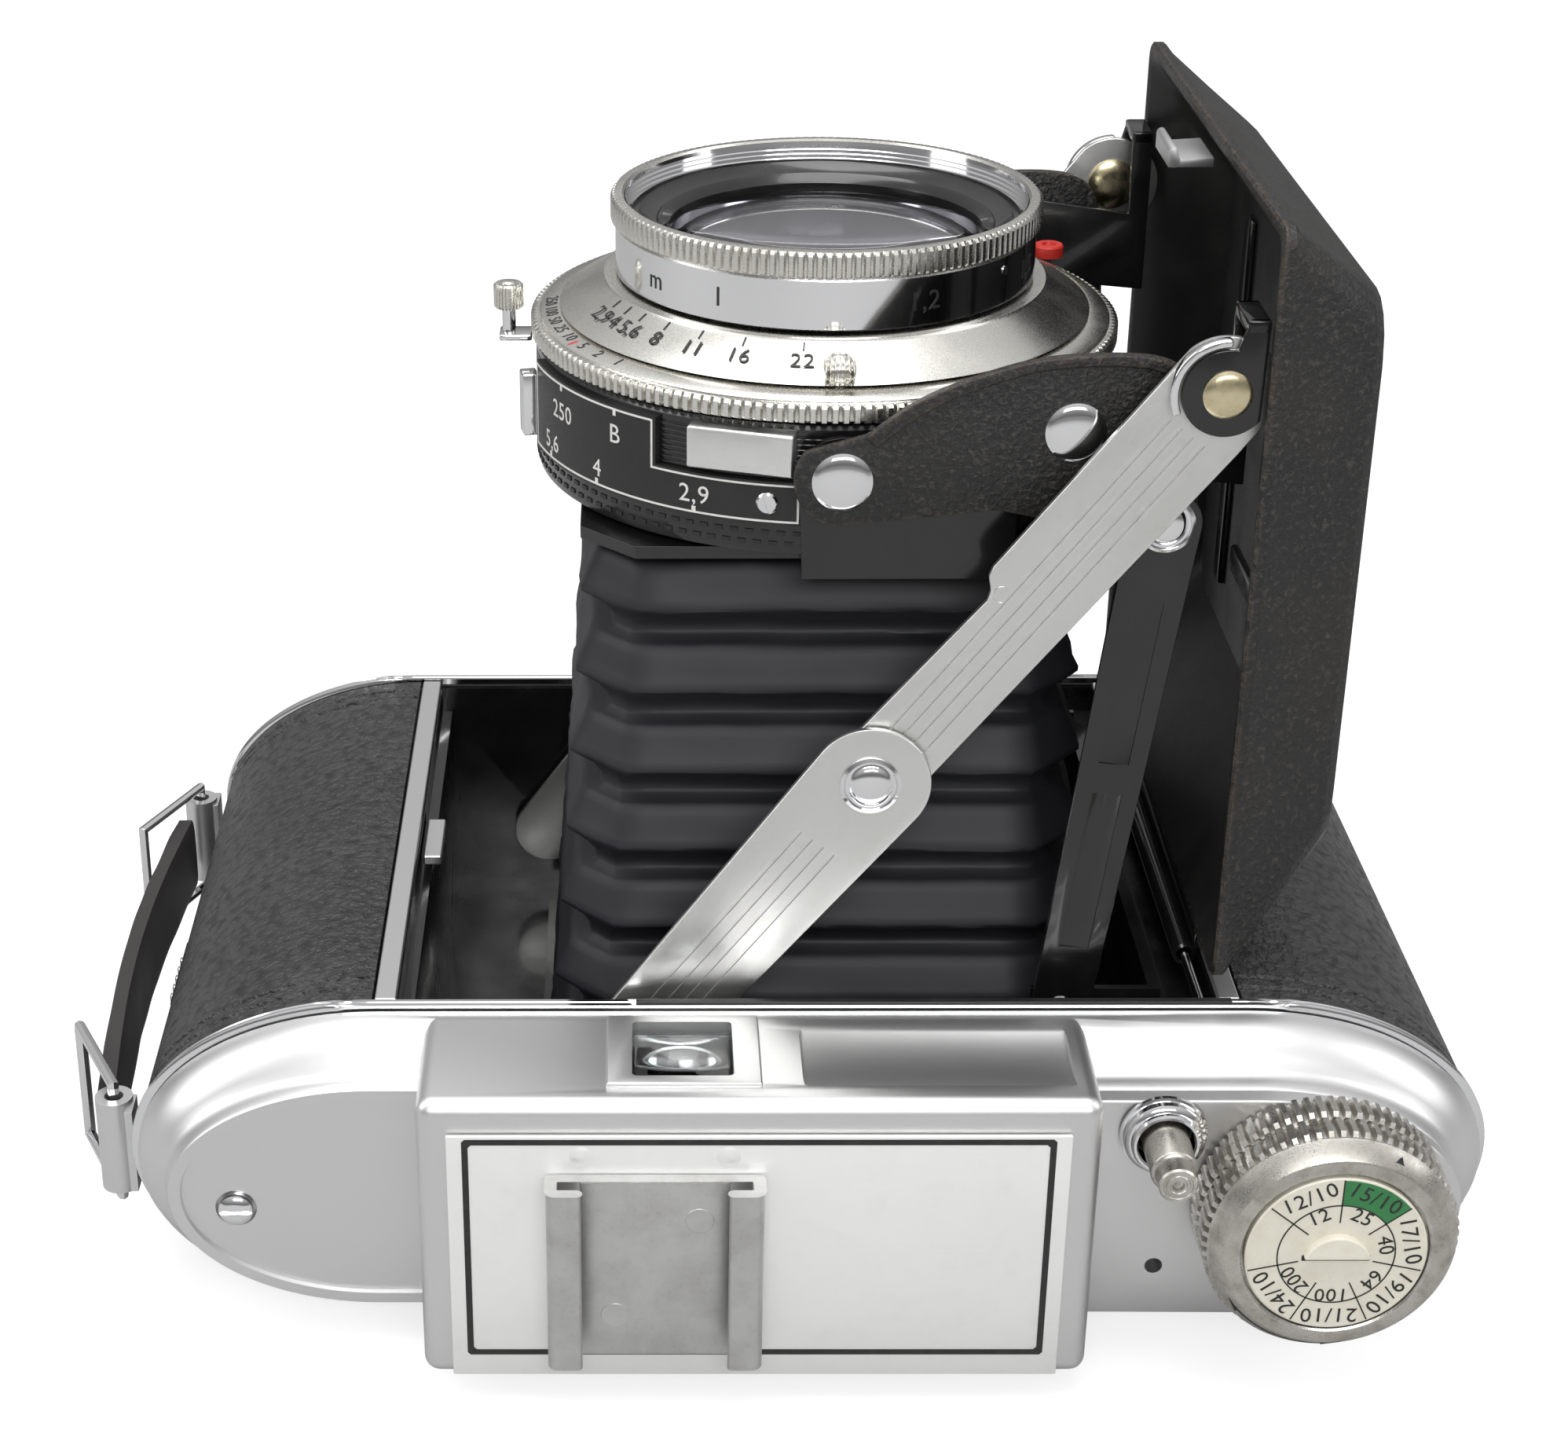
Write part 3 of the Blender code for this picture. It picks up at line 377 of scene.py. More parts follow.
@dataclass(frozen=True)
class Finishes:
    """Every finish on the camera."""

    satin_chrome: Finish = Finish(
        "satin_chrome", "satin_chrome", (0.68, 0.68, 0.675), (0.42, 0.41, 0.385), (0.20, 0.34), 1.0,
        Grain.SATIN, cell=0.10, relief=0.0025, patch=9.0, stain_and_reflection_strength=0.28, worn=(0.78, 0.78, 0.77),
    )
    bright_chrome: Finish = Finish(
        "bright_chrome", "bright_chrome", (0.76, 0.76, 0.76), (0.52, 0.50, 0.47), (0.08, 0.20), 1.0,
        cell=2.0, relief=0.006, patch=6.0, stain_and_reflection_strength=0.22,
    )
    worn_nickel: Finish = Finish(
        "worn_nickel", "satin_chrome", (0.56, 0.54, 0.50), (0.22, 0.19, 0.15), (0.22, 0.48), 1.0,
        Grain.SATIN, cell=0.12, relief=0.005, patch=2.6, stain_and_reflection_strength=0.45, worn=(0.75, 0.74, 0.72),
    )
    brushed_plate: Finish = Finish(
        "brushed_plate", "brushed_aluminium", (0.90, 0.90, 0.885), (0.74, 0.73, 0.70), (0.36, 0.50), 0.5,
        Grain.BRUSHED, cell=0.14, relief=0.012, stretch=(0.012, 1.0, 1.0), patch=11.0, stain_and_reflection_strength=0.2,
    )
    brushed_block: Finish = Finish(
        "brushed_block", "brushed_aluminium", (0.82, 0.82, 0.81), (0.62, 0.62, 0.60), (0.28, 0.44), 1.0,
        Grain.BRUSHED, cell=0.16, relief=0.006, stretch=(0.06, 0.06, 1.0), patch=3.0, stain_and_reflection_strength=0.2,
    )
    brace_metal: Finish = Finish(
        "brace_metal", "satin_chrome", (0.72, 0.72, 0.70), (0.52, 0.51, 0.48), (0.30, 0.42), 1.0,
        Grain.SATIN, cell=0.16, relief=0.0028, patch=10.0, stain_and_reflection_strength=0.2, worn=(0.84, 0.84, 0.83),
    )
    turned_silver: Finish = Finish(
        "turned_silver", "satin_chrome", (0.74, 0.73, 0.69), (0.54, 0.51, 0.45), (0.20, 0.34), 1.0,
        Grain.SATIN, cell=0.14, relief=0.002, patch=9.0, stain_and_reflection_strength=0.22, anisotropy=0.55,
    )
    rail_grey: Finish = Finish(
        "rail_grey", "satin_chrome", (0.60, 0.60, 0.59), (0.42, 0.41, 0.39), (0.34, 0.52), 1.0, Grain.SATIN,
        cell=0.13, relief=0.004, patch=4.0, stain_and_reflection_strength=0.4,
    )
    brass: Finish = Finish(
        "brass", "bright_chrome", (0.72, 0.64, 0.42), (0.46, 0.38, 0.22), (0.16, 0.32), 1.0, cell=0.6,
        relief=0.004, patch=1.5, stain_and_reflection_strength=0.4,
    )
    # The covering's darker grain colour is painted shade in the valleys between the pebbles.
    covering: Finish = Finish(
        "covering_leather", "black_leather", (0.034, 0.033, 0.034), (0.060, 0.058, 0.060), (0.36, 0.60),
        0.0, Grain.PEBBLE, cell=0.95, relief=0.42, painted_grain_shading=(0.012, 0.012, 0.012), patch=16.0, stain_and_reflection_strength=0.6,
    )
    # The bellows' lighter bluish patch colour is a painted reflection, not real discolouring.
    bellows: Finish = Finish(
        "bellows_leather", "bellows_leather", (0.010, 0.010, 0.012), (0.030, 0.032, 0.040), (0.20, 0.40),
        0.0, Grain.CREASE, cell=1.5, relief=1.1, patch=5.0, stain_and_reflection_strength=0.6, coat=0.8,
    )
    strap: Finish = Finish(
        "strap_leather", "strap_leather", (0.026, 0.022, 0.022), (0.050, 0.042, 0.040), (0.38, 0.58), 0.0,
        Grain.PEBBLE, cell=0.5, relief=0.04, patch=8.0, stain_and_reflection_strength=0.5, worn=(0.10, 0.075, 0.06),
    )
    # The crackle's lighter grain colour is a painted highlight on the raised tooth.
    crackle: Finish = Finish(
        "crackle_enamel", "crackle_black", (0.010, 0.0095, 0.0095), (0.022, 0.019, 0.016), (0.40, 0.62),
        0.0, Grain.CRACKLE, cell=0.55, relief=0.30, painted_grain_shading=(0.050, 0.046, 0.042), patch=13.0, stain_and_reflection_strength=0.5,
        worn=(0.075, 0.055, 0.036),
    )
    enamel: Finish = Finish(
        "black_enamel", "gloss_black", (0.006, 0.006, 0.0065), (0.016, 0.015, 0.015), (0.12, 0.30), 0.0,
        cell=1.4, relief=0.01, patch=8.0, stain_and_reflection_strength=0.4, coat=0.4,
    )
    dull_black: Finish = Finish(
        "dull_black", "gloss_black", (0.012, 0.012, 0.012), (0.024, 0.023, 0.022), (0.34, 0.5), 0.0,
        Grain.SATIN, cell=0.2, relief=0.006, patch=6.0, stain_and_reflection_strength=0.4,
    )
    cream: Finish = Finish(
        "cream_enamel", "cream_dial", (0.74, 0.71, 0.61), (0.58, 0.53, 0.42), (0.34, 0.50), 0.0, cell=0.4,
        relief=0.003, patch=2.5, stain_and_reflection_strength=0.35,
    )
    green: Finish = Finish(
        "green_enamel", "cream_dial", (0.030, 0.20, 0.060), (0.022, 0.14, 0.045), (0.34, 0.48), 0.0,
        cell=0.4, relief=0.003, patch=2.5, stain_and_reflection_strength=0.4,
    )
    black_ink: Finish = Finish(
        "black_ink", "gloss_black", (0.012, 0.012, 0.012), (0.040, 0.038, 0.036), (0.40, 0.60), 0.0,
        cell=0.3, relief=0.002, patch=1.2, stain_and_reflection_strength=0.4,
    )
    white_ink: Finish = Finish(
        "white_ink", "cream_dial", (0.72, 0.71, 0.69), (0.50, 0.49, 0.46), (0.36, 0.52), 0.0, cell=0.3,
        relief=0.002, patch=1.5, stain_and_reflection_strength=0.35,
    )
    red_ink: Finish = Finish(
        "red_ink", "red_window", (0.60, 0.035, 0.025), (0.36, 0.02, 0.015), (0.28, 0.44), 0.0, cell=0.3,
        relief=0.002, patch=1.5, stain_and_reflection_strength=0.35,
    )
    lens_glass: Glass = Glass("lens_glass", "glass", (0.93, 0.91, 0.98), 1.62, 0.03)
    window_glass: Glass = Glass("window_glass", "glass", (0.92, 0.94, 0.94))
    red_glass: Glass = Glass("red_glass", "red_window", (0.55, 0.02, 0.015), 1.5, 0.1)


FINISH = Finishes()


# ---- shapes -----------------------------------------------------------------------------------------


class Axis(Enum):
    """The axis that a turned shape stands on."""

    Y = "Y"
    Z = "Z"


class Join(Enum):
    """How one solid is combined with another."""

    UNION = "UNION"
    CUT = "DIFFERENCE"


def shifted(mesh: bmesh.types.BMesh, centre: Flat, axis: Axis) -> bmesh.types.BMesh:
    """Stands a shape made round Z on an axis.

    Args:
        mesh: the shape, which is changed.
        centre: where the axis is: (x, y) for Z, and (x, z) for Y.
        axis: the axis. On Y, a height becomes a y value.

    Returns:
        The same shape.
    """
    if axis is Axis.Y:
        bmesh.ops.rotate(mesh, matrix=Matrix.Rotation(math.radians(-90), 3, "X"), verts=mesh.verts)
        bmesh.ops.translate(mesh, vec=(centre[0], 0.0, centre[1]), verts=mesh.verts)
    else:
        bmesh.ops.translate(mesh, vec=(centre[0], centre[1], 0.0), verts=mesh.verts)
    return mesh


def loft(loops: Sequence[Sequence[Point]], closed: bool = False) -> bmesh.types.BMesh:
    """Extrudes a loop of edges through a row of loops.

    Args:
        loops: equally many points in each loop, none of them twice in one loop.
        closed: joins the last loop to the first, as in a ring. Otherwise both ends are capped.

    Returns:
        The closed shape.
    """
    mesh = bmesh.new()
    ring = [mesh.verts.new(point) for point in loops[0]]
    edges = [mesh.edges.new((ring[index - 1], ring[index])) for index in range(len(ring))]
    first = list(ring)
    for loop in [*loops[1:], *([loops[0]] if closed else [])]:
        order = {tuple(vertex.co): index for index, vertex in enumerate(ring)}
        made = bmesh.ops.extrude_edge_only(mesh, edges=edges)["geom"]
        fresh = {item for item in made if isinstance(item, bmesh.types.BMVert)}
        edges = [item for item in made if isinstance(item, bmesh.types.BMEdge) and set(item.verts) <= fresh]
        ring = sorted(fresh, key=lambda vertex: order[tuple(vertex.co)])
        for vertex, point in zip(ring, loop):
            vertex.co = point
    if closed:
        bmesh.ops.remove_doubles(mesh, verts=mesh.verts, dist=1e-5)
    else:
        mesh.faces.new(first)
        mesh.faces.new(ring)
    return mesh


def prism(outline: Sequence[Flat], low: float, high: float) -> bmesh.types.BMesh:
    """Extrudes an (x, z) outline along Y."""
    mesh = bmesh.new()
    face = mesh.faces.new([mesh.verts.new((x, low, z)) for x, z in outline])
    moved = bmesh.ops.extrude_face_region(mesh, geom=[face])["geom"]
    verts = [item for item in moved if isinstance(item, bmesh.types.BMVert)]
    bmesh.ops.translate(mesh, vec=(0.0, high - low, 0.0), verts=verts)
    return mesh


def box(low: Point, high: Point, bevel: float = 0.0, segments: int = 3) -> bmesh.types.BMesh:
    """A box between two corners, with rounded edges if asked."""
    mesh = bmesh.new()
    size = [top - bottom for bottom, top in zip(low, high)]
    middle = [(top + bottom) / 2 for bottom, top in zip(low, high)]
    bmesh.ops.create_cube(mesh, size=1.0)
    bmesh.ops.transform(mesh, matrix=Matrix.Diagonal((*size, 1.0)), verts=mesh.verts)
    bmesh.ops.translate(mesh, vec=middle, verts=mesh.verts)
    if bevel:
        rounded(mesh, bevel, segments)
    return mesh


def rounded(
    mesh: bmesh.types.BMesh, width: float, segments: int = 3, angle: float = 25.0
) -> bmesh.types.BMesh:
    """Rounds a shape's sharp edges.

    Args:
        mesh: the shape, which is changed.
        width: the bevel's width.
        segments: how finely it is rounded.
        angle: the least angle in degrees between two faces that is rounded.

    Returns:
        The same shape.
    """
    mesh.normal_update()
    sharp = [e for e in mesh.edges if len(e.link_faces) == 2 and e.calc_face_angle(0.0) > math.radians(angle)]
    bmesh.ops.bevel(
        mesh,
        geom=sharp,
        offset=width,
        affect="EDGES",
        segments=segments,
        profile=0.5,
        material=-1,
        clamp_overlap=True,
    )
    return mesh


def turned(
    profile: Sequence[Flat], centre: Flat = (0.0, 0.0), axis: Axis = Axis.Z, segments: int = 128
) -> bmesh.types.BMesh:
    """Spins a closed (radius, height) profile about an axis."""
    mesh = bmesh.new()
    points = [mesh.verts.new((radius, 0.0, height)) for radius, height in profile]
    edges = [mesh.edges.new((points[index - 1], points[index])) for index in range(len(points))]
    bmesh.ops.spin(
        mesh, geom=points + edges, cent=(0, 0, 0), axis=(0, 0, 1), angle=math.tau, steps=segments,
        use_merge=True
    )
    bmesh.ops.remove_doubles(mesh, verts=mesh.verts, dist=0.0008)
    bmesh.ops.dissolve_degenerate(mesh, edges=mesh.edges, dist=0.0004)
    return shifted(mesh, centre, axis)


def knurled(
    levels: Sequence[tuple[float, float, float]],
    teeth: int,
    centre: Flat = (0.0, 0.0),
    axis: Axis = Axis.Z,
    crest: Sequence[float] = (0.0, 0.28, 0.72, 1.0),
) -> bmesh.types.BMesh:
    """A ring whose levels carry teeth of their own depth.

    Args:
        levels: (radius, height, tooth depth) round the closed section.
        teeth: how many teeth go round.
        centre: where the axis is.
        axis: the axis.
        crest: where a tooth rises and falls, as shares of its pitch: its two low and two high corners.

    Returns:
        The closed ring.
    """
    rise, top, end, fall = crest[0] + 0.12, crest[1], crest[2], crest[3] - 0.12
    corners = ((rise, 1.0), (top, 0.0), (end, 0.0), (fall, 1.0))
    loops = []
    for radius, height, depth in levels:
        loop = []
        for tooth in range(teeth):
            for share, cut in corners:
                turn = math.tau * (tooth + share) / teeth
                reach = radius - depth * cut
                loop.append((reach * math.cos(turn), reach * math.sin(turn), height))
        loops.append(loop)
    return shifted(loft(loops, closed=True), centre, axis)


def arc(centre: Flat, radius: float, start: float, end: float, steps: int) -> list[Flat]:
    """Points on a circle between two angles in degrees."""
    angles = [math.radians(start + (end - start) * step / steps) for step in range(steps + 1)]
    return [(centre[0] + radius * math.cos(a), centre[1] + radius * math.sin(a)) for a in angles]


def bar(first: Flat, second: Flat, first_radius: float, second_radius: float, steps: int = 20) -> list[Flat]:
    """The outline of a flat bar with round ends at two pivots."""
    heading = math.degrees(math.atan2(second[1] - first[1], second[0] - first[0]))
    return arc(first, first_radius, heading + 90, heading + 270, steps) + arc(
        second, second_radius, heading - 90, heading + 90, steps
    )


def curved_box(angles: Flat, heights: Flat, radii: Flat, step: float = 2.0) -> bmesh.types.BMesh:
    """A box bent round the Z axis between two angles in degrees."""
    count = max(1, round(abs(angles[1] - angles[0]) / step))
    loops = []
    for index in range(count + 1):
        turn = math.radians(angles[0] + (angles[1] - angles[0]) * index / count)
        section = [(r, z) for r, z in zip((radii[0], radii[1], radii[1], radii[0]), sorted(heights * 2))]
        loops.append([(r * math.cos(turn), r * math.sin(turn), z) for r, z in section])
    return loft(loops)


def smooth_path(points: Sequence[Flat], steps: int) -> list[Flat]:
    """A smooth curve through points, with so many steps between each two."""
    ends = [points[0], *points, points[-1]]
    path = []
    for index in range(len(points) - 1):
        a, b, c, d = (Vector(p) for p in ends[index : index + 4])
        for step in range(steps):
            t = step / steps
            place = b * 2 + (c - a) * t + (a * 2 - b * 5 + c * 4 - d) * t * t + (b * 3 - a - c * 3 + d) * t**3
            path.append(tuple(place / 2))
    return [*path, tuple(points[-1])]


def merged(shapes: Sequence[bmesh.types.BMesh]) -> bmesh.types.BMesh:
    """Several shapes as one, without joining them where they meet."""
    whole = bmesh.new()
    for shape in shapes:
        bmesh.ops.recalc_face_normals(shape, faces=shape.faces)
        carrier = bpy.data.meshes.new("carrier")
        shape.to_mesh(carrier)
        shape.free()
        whole.from_mesh(carrier)
        bpy.data.meshes.remove(carrier)
    return whole


def combine(target: bmesh.types.BMesh, other: bmesh.types.BMesh, how: Join) -> bmesh.types.BMesh:
    """Joins one solid onto another, or cuts it out.

    Args:
        target: the solid that is kept; it is used up.
        other: the solid that is added or cut out; it is used up.
        how: which of the two.

    Returns:
        The result.
    """
    tools = []
    for shape in (target, other):
        bmesh.ops.recalc_face_normals(shape, faces=shape.faces)
        data = bpy.data.meshes.new("tool")
        shape.to_mesh(data)
        shape.free()
        tools.append(bpy.data.objects.new("tool", data))
        bpy.context.scene.collection.objects.link(tools[-1])
    modifier = tools[0].modifiers.new("combine", "BOOLEAN")
    modifier.operation = how.value
    modifier.solver = "EXACT"
    modifier.object = tools[1]
    result = bmesh.new()
    result.from_object(tools[0], bpy.context.evaluated_depsgraph_get())
    for tool in tools:
        data = tool.data
        bpy.data.objects.remove(tool)
        bpy.data.meshes.remove(data)
    return result


def numeral(text: str, height: float, depth: float = 0.04) -> bmesh.types.BMesh:
    """Figures as a thin solid in the XY plane, centred on the origin.

    Args:
        text: the figures.
        height: the height of a figure.
        depth: how thick they are.

    Returns:
        The shape.
    """
    curve = bpy.data.curves.new("figures", "FONT")
    curve.body = text
    curve.align_x = "CENTER"
    curve.align_y = "CENTER"
    curve.size = height * 1.38
    curve.space_character = 1.06
    curve.extrude = depth / 2
    curve.resolution_u = 3
    carrier = bpy.data.objects.new("figures", curve)
    bpy.context.scene.collection.objects.link(carrier)
    shape = bmesh.new()
    evaluated = carrier.evaluated_get(bpy.context.evaluated_depsgraph_get())
    shape.from_mesh(evaluated.to_mesh())
    evaluated.to_mesh_clear()
    bpy.data.objects.remove(carrier)
    bpy.data.curves.remove(curve)
    bmesh.ops.remove_doubles(shape, verts=shape.verts, dist=0.001)
    return shape


def wrapped(
    shape: bmesh.types.BMesh, angle: float, radius: float, height: float, lean: float = 0.0
) -> bmesh.types.BMesh:
    """Bends a flat shape round the Z axis.

    Args:
        shape: the shape in the XY plane, which is changed.
        angle: where its middle goes, in degrees.
        radius: the radius there.
        height: the height there.
        lean: the slope of the surface in degrees: 0 on a cylinder, and 90 on a flat ring that faces up.

    Returns:
        The same shape.
    """
    sine, cosine = math.sin(math.radians(lean)), math.cos(math.radians(lean))
    for vertex in shape.verts:
        x, y, z = vertex.co
        turn = math.radians(angle) + x / radius
        reach = radius - y * sine + z * cosine
        vertex.co = (reach * math.cos(turn), reach * math.sin(turn), height + y * cosine + z * sine)
    return shape


def on_face(shape: bmesh.types.BMesh, centre: Flat, y: float, turn: float = 0.0) -> bmesh.types.BMesh:
    """Stands a flat shape on a face that looks along -Y, turned by an angle in degrees.

    Args:
        shape: the shape in the XY plane, which is changed.
        centre: its place as (x, z).
        y: the height of the face.
        turn: how far it is turned on the face.

    Returns:
        The same shape.
    """
    bmesh.ops.rotate(shape, matrix=Matrix.Rotation(math.radians(turn), 3, "Z"), verts=shape.verts)
    bmesh.ops.rotate(shape, matrix=Matrix.Rotation(math.radians(90), 3, "X"), verts=shape.verts)
    bmesh.ops.translate(shape, vec=(centre[0], y, centre[1]), verts=shape.verts)
    return shape


def moved(shape: bmesh.types.BMesh, matrix: Matrix) -> bmesh.types.BMesh:
    """Applies a transform to a shape and gives it back."""
    bmesh.ops.transform(shape, matrix=matrix, verts=shape.verts)
    return shape


def crumpled(shape: bmesh.types.BMesh, size: float, amount: float, seed: float) -> bmesh.types.BMesh:
    """Pushes each point of a shape a little along its normal, by a smooth noise."""
    shape.normal_update()
    shifts = [noise.noise(vertex.co / size + Vector((seed, seed, seed))) * amount for vertex in shape.verts]
    for vertex, shift in zip(shape.verts, shifts):
        vertex.co += vertex.normal * shift
    return shape


class Workshop:
    """Turns shapes into finished pieces that ride on the frame."""

    def __init__(self) -> None:
        """Starts with nothing made."""
        self.made: list[str] = []

    def piece(
        self,
        name: str,
        shape: bmesh.types.BMesh,
        finish: Finish | Glass,
        body: str = "body",
        replaces: Sequence[str] = (),
        sharp: float = 35.0,
    ) -> bpy.types.Object:
        """Makes a shape into a piece.

        Args:
            name: the piece's name.
            shape: its shape in millimetres; it is used up.
            finish: its finish.
            body: the frame body that it rides on.
            replaces: the frame nodes that it stands for.
            sharp: the angle in degrees past which an edge stays sharp.

        Returns:
            The piece.
        """
        bmesh.ops.remove_doubles(shape, verts=shape.verts, dist=0.0005)
        bmesh.ops.recalc_face_normals(shape, faces=shape.faces)
        bmesh.ops.scale(shape, vec=(MM, MM, MM), verts=shape.verts)
        data = bpy.data.meshes.new(name)
        shape.to_mesh(data)
        shape.free()
        data.shade_smooth()
        data.set_sharp_from_angle(angle=math.radians(sharp))
        data.materials.append(finish.material())
        made = bpy.data.objects.new(name, data)
        bpy.context.scene.collection.objects.link(made)
        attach(made, body)
        if replaces:
            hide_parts(*replaces)
        self.made.append(name)
        LOG.info("%s on %s: %d faces", name, body, len(data.polygons))
        return made

    def refined(
        self, node: str, finish: Finish | Glass, body: str = "body", bevel: float = 0.12, segments: int = 2
    ) -> bpy.types.Object:
        """A copy of a frame node with its edges rounded.

        Args:
            node: the node that it copies and stands for.
            finish: its finish.
            body: the body that it rides on.
            bevel: width of the rounded edges.
            segments: how finely they are rounded.

        Returns:
            The piece.
        """
        shape = bmesh.new()
        shape.from_mesh(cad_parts[node].data)
        bmesh.ops.scale(shape, vec=(1 / MM,) * 3, verts=shape.verts)
        bmesh.ops.remove_doubles(shape, verts=shape.verts, dist=0.001)
        bmesh.ops.dissolve_limit(shape, angle_limit=math.radians(0.5), verts=shape.verts, edges=shape.edges)
        made = self.piece(f"{node}_finished", shape, finish, body, (node,))
        modifier = made.modifiers.new("rounding", "BEVEL")
        modifier.width = bevel * MM
        modifier.segments = segments
        modifier.limit_method = "ANGLE"
        modifier.angle_limit = math.radians(35)
        modifier.harden_normals = True
        return made


# ---- the camera -------------------------------------------------------------------------------------


@dataclass(frozen=True)
class Outline:
    """The outline of the body across its width: two half ellipses joined by straight lines.

    Attributes:
        left: the centre of the left end.
        right: the centre of the right end.
        reach: how far each end stands out from its centre.
        middle: the height of the widest place.
        front: the height of the front face.
    """

    left: float = -45.9
    right: float = 42.1
    reach: float = 25.3
    middle: float = 17.7
    front: float = 34.7

    def at(self, side: int, inset: float, angle: float) -> Flat:
        """A point on one end; 90 degrees is at the front and -90 at the back."""
        centre = self.right if side > 0 else self.left
        rise = (self.front - self.middle if angle > 0 else self.middle) - inset
        turn = math.radians(angle)
        return (
            centre + side * (self.reach - inset) * math.cos(turn),
            self.middle + rise * math.sin(turn),
        )

    def whole(self, inset: float, steps: int = 48, low: float = -90.0) -> list[Flat]:
        """The outline drawn inwards, from the right end's low angle over the front to the left end's."""
        angles = [low + (90.0 - low) * step / steps for step in range(steps + 1)]
        right = [self.at(1, inset, angle) for angle in angles]
        left = [self.at(-1, inset, angle) for angle in angles]
        return right + left[::-1]

    def deck(self, levels: Sequence[Flat], steps: int = 48) -> bmesh.types.BMesh:
        """A cover lofted through (y, inset) levels."""
        return loft([[(x, y, z) for x, z in self.whole(inset, steps)] for y, inset in levels])


OUTLINE = Outline()


def border(
    low: Flat, high: Flat, width: float, y: float, depth: float, corner: float = 0.3
) -> bmesh.types.BMesh:
    """A thin rectangular line on a face that looks along -Y.

    Args:
        low: its lowest (x, z).
        high: its highest (x, z).
        width: the width of the line.
        y: the face.
        depth: how far the line stands out.
        corner: the cut of its corners.

    Returns:
        The shape.
    """
    loops = []
    for inset, height in ((0.0, y), (0.0, y - depth), (width, y - depth), (width, y)):
        x0, z0, x1, z1 = low[0] + inset, low[1] + inset, high[0] - inset, high[1] - inset
        loops.append(
            [
                (x0 + corner, height, z0), (x1 - corner, height, z0), (x1, height, z0 + corner),
                (x1, height, z1 - corner), (x1 - corner, height, z1), (x0 + corner, height, z1),
                (x0, height, z1 - corner), (x0, height, z0 + corner),
            ]
        )
    return loft(loops, closed=True)


@dataclass
class Body:
    """The casting with its covering, the bright trims and strips, and the bottom cover.

    Attributes:
        shop: where the pieces are made.
        leather_half: half the width of the covering.
        line_places: where the pressed lines lie across the covering.
    """

    shop: Workshop
    leather_half: float = 38.0
    line_places: tuple[float, ...] = (-35.6, -33.6, 33.6, 35.6)

    def make(self) -> None:
        """Makes every piece of the body."""
        self.shop.refined("body_shell", FINISH.enamel, bevel=0.15)
        for side in (-1, 1):
            self.make_trim(side)
            self.make_covering(side)
        for name in ("strip_left", "strip_right"):
            self.shop.refined(name, FINISH.satin_chrome, bevel=0.2, segments=3)
        self.make_base()

    def make_trim(self, side: int) -> None:
        """The bright band with two ridges along one long side."""
        ridges = [
            (38.3, 0.5), (38.3, -0.25), (38.42, -0.45), (38.6, -0.5), (38.75, -0.42), (38.86, -0.12),
            (38.94, -0.12), (39.05, -0.42), (39.2, -0.5), (39.38, -0.44), (39.5, -0.22), (39.5, 0.5),
        ]
        loops = []
        lines = [OUTLINE.whole(inset, 72, -78.0) for _, inset in ridges]
        for place in range(len(lines[0])):
            loops.append(
                [(line[place][0], side * y, min(line[place][1], 34.9)) for (y, _), line in zip(ridges, lines)]
            )
        name = "top_trim" if side < 0 else "bottom_trim"
        self.shop.piece(f"{name}_ridged", loft(loops), FINISH.bright_chrome, replaces=(name,))
        if side < 0:
            shape = box((-19.5, -39.42, 34.5), (40.5, -38.5, 35.2), 0.15)
            self.shop.piece("trim_inset", shape, FINISH.dull_black)

    def covering_line(self, side: int, inset: float) -> list[Flat]:
        """The covering's path round one end, from the back's split to the strip beside the well."""
        last = 89.1 if side < 0 else 90.0
        path = [OUTLINE.at(side, inset, -29.2 + (last + 29.2) * step / 64) for step in range(65)]
        if side > 0:
            path.append((41.8, OUTLINE.front - inset))
        return path

    def make_covering(self, side: int) -> None:
        """The leather over one end, with two pressed lines along each edge."""
        half = self.leather_half
        across = [(-half, 0.6), (-half, 0.12), (-half + 0.15, 0.0)]
        for place in self.line_places:
            across += [
                (place - 0.4, 0.0), (place - 0.16, 0.32), (place + 0.16, 0.32), (place + 0.4, 0.0),
            ]
            if place == self.line_places[1]:
                across += [(-18.0, 0.0), (0.0, 0.0), (18.0, 0.0)]
        across += [(half - 0.15, 0.0), (half, 0.12), (half, 0.6)]
        lines = [self.covering_line(side, inset) for _, inset in across]
        loops = []
        for place in range(len(lines[0])):
            loops.append([(line[place][0], y, line[place][1]) for (y, _), line in zip(across, lines)])
        name = "leather_left" if side < 0 else "leather_right"
        self.shop.piece(f"{name}_covering", loft(loops), FINISH.covering, replaces=(name,))

    def make_base(self) -> None:
        """The bottom cover, smoothly coved, with its tripod bush."""
        levels = [
            (39.8, 0.3), (40.6, 0.42), (41.6, 0.8), (42.6, 1.35), (43.3, 1.95), (44.0, 2.6), (44.45, 3.3),
            (44.6, 4.4)
        ]
        cover = OUTLINE.deck(levels)
        hole = turned([(0, 37.0), (5.4, 37.0), (5.4, 47.0), (0, 47.0)], (0.0, 17.0), Axis.Y, 64)
        self.shop.piece(
            "bottom_cover", combine(cover, hole, Join.CUT), FINISH.satin_chrome, replaces=("bottom_plate",)
        )
        bush = [(3.2, 40.2), (6.8, 40.2), (6.8, 43.1), (5.3, 43.1), (5.3, 45.15), (5.1, 45.4), (3.5, 45.4)]
        for turn in range(9):
            bush += [(3.2, 45.1 - 0.5 * turn), (3.45, 44.85 - 0.5 * turn)]
        self.shop.piece(
            "tripod_socket", turned(bush, (0.0, 17.0), Axis.Y, 64), FINISH.bright_chrome,
            replaces=("tripod_bush",)
        )


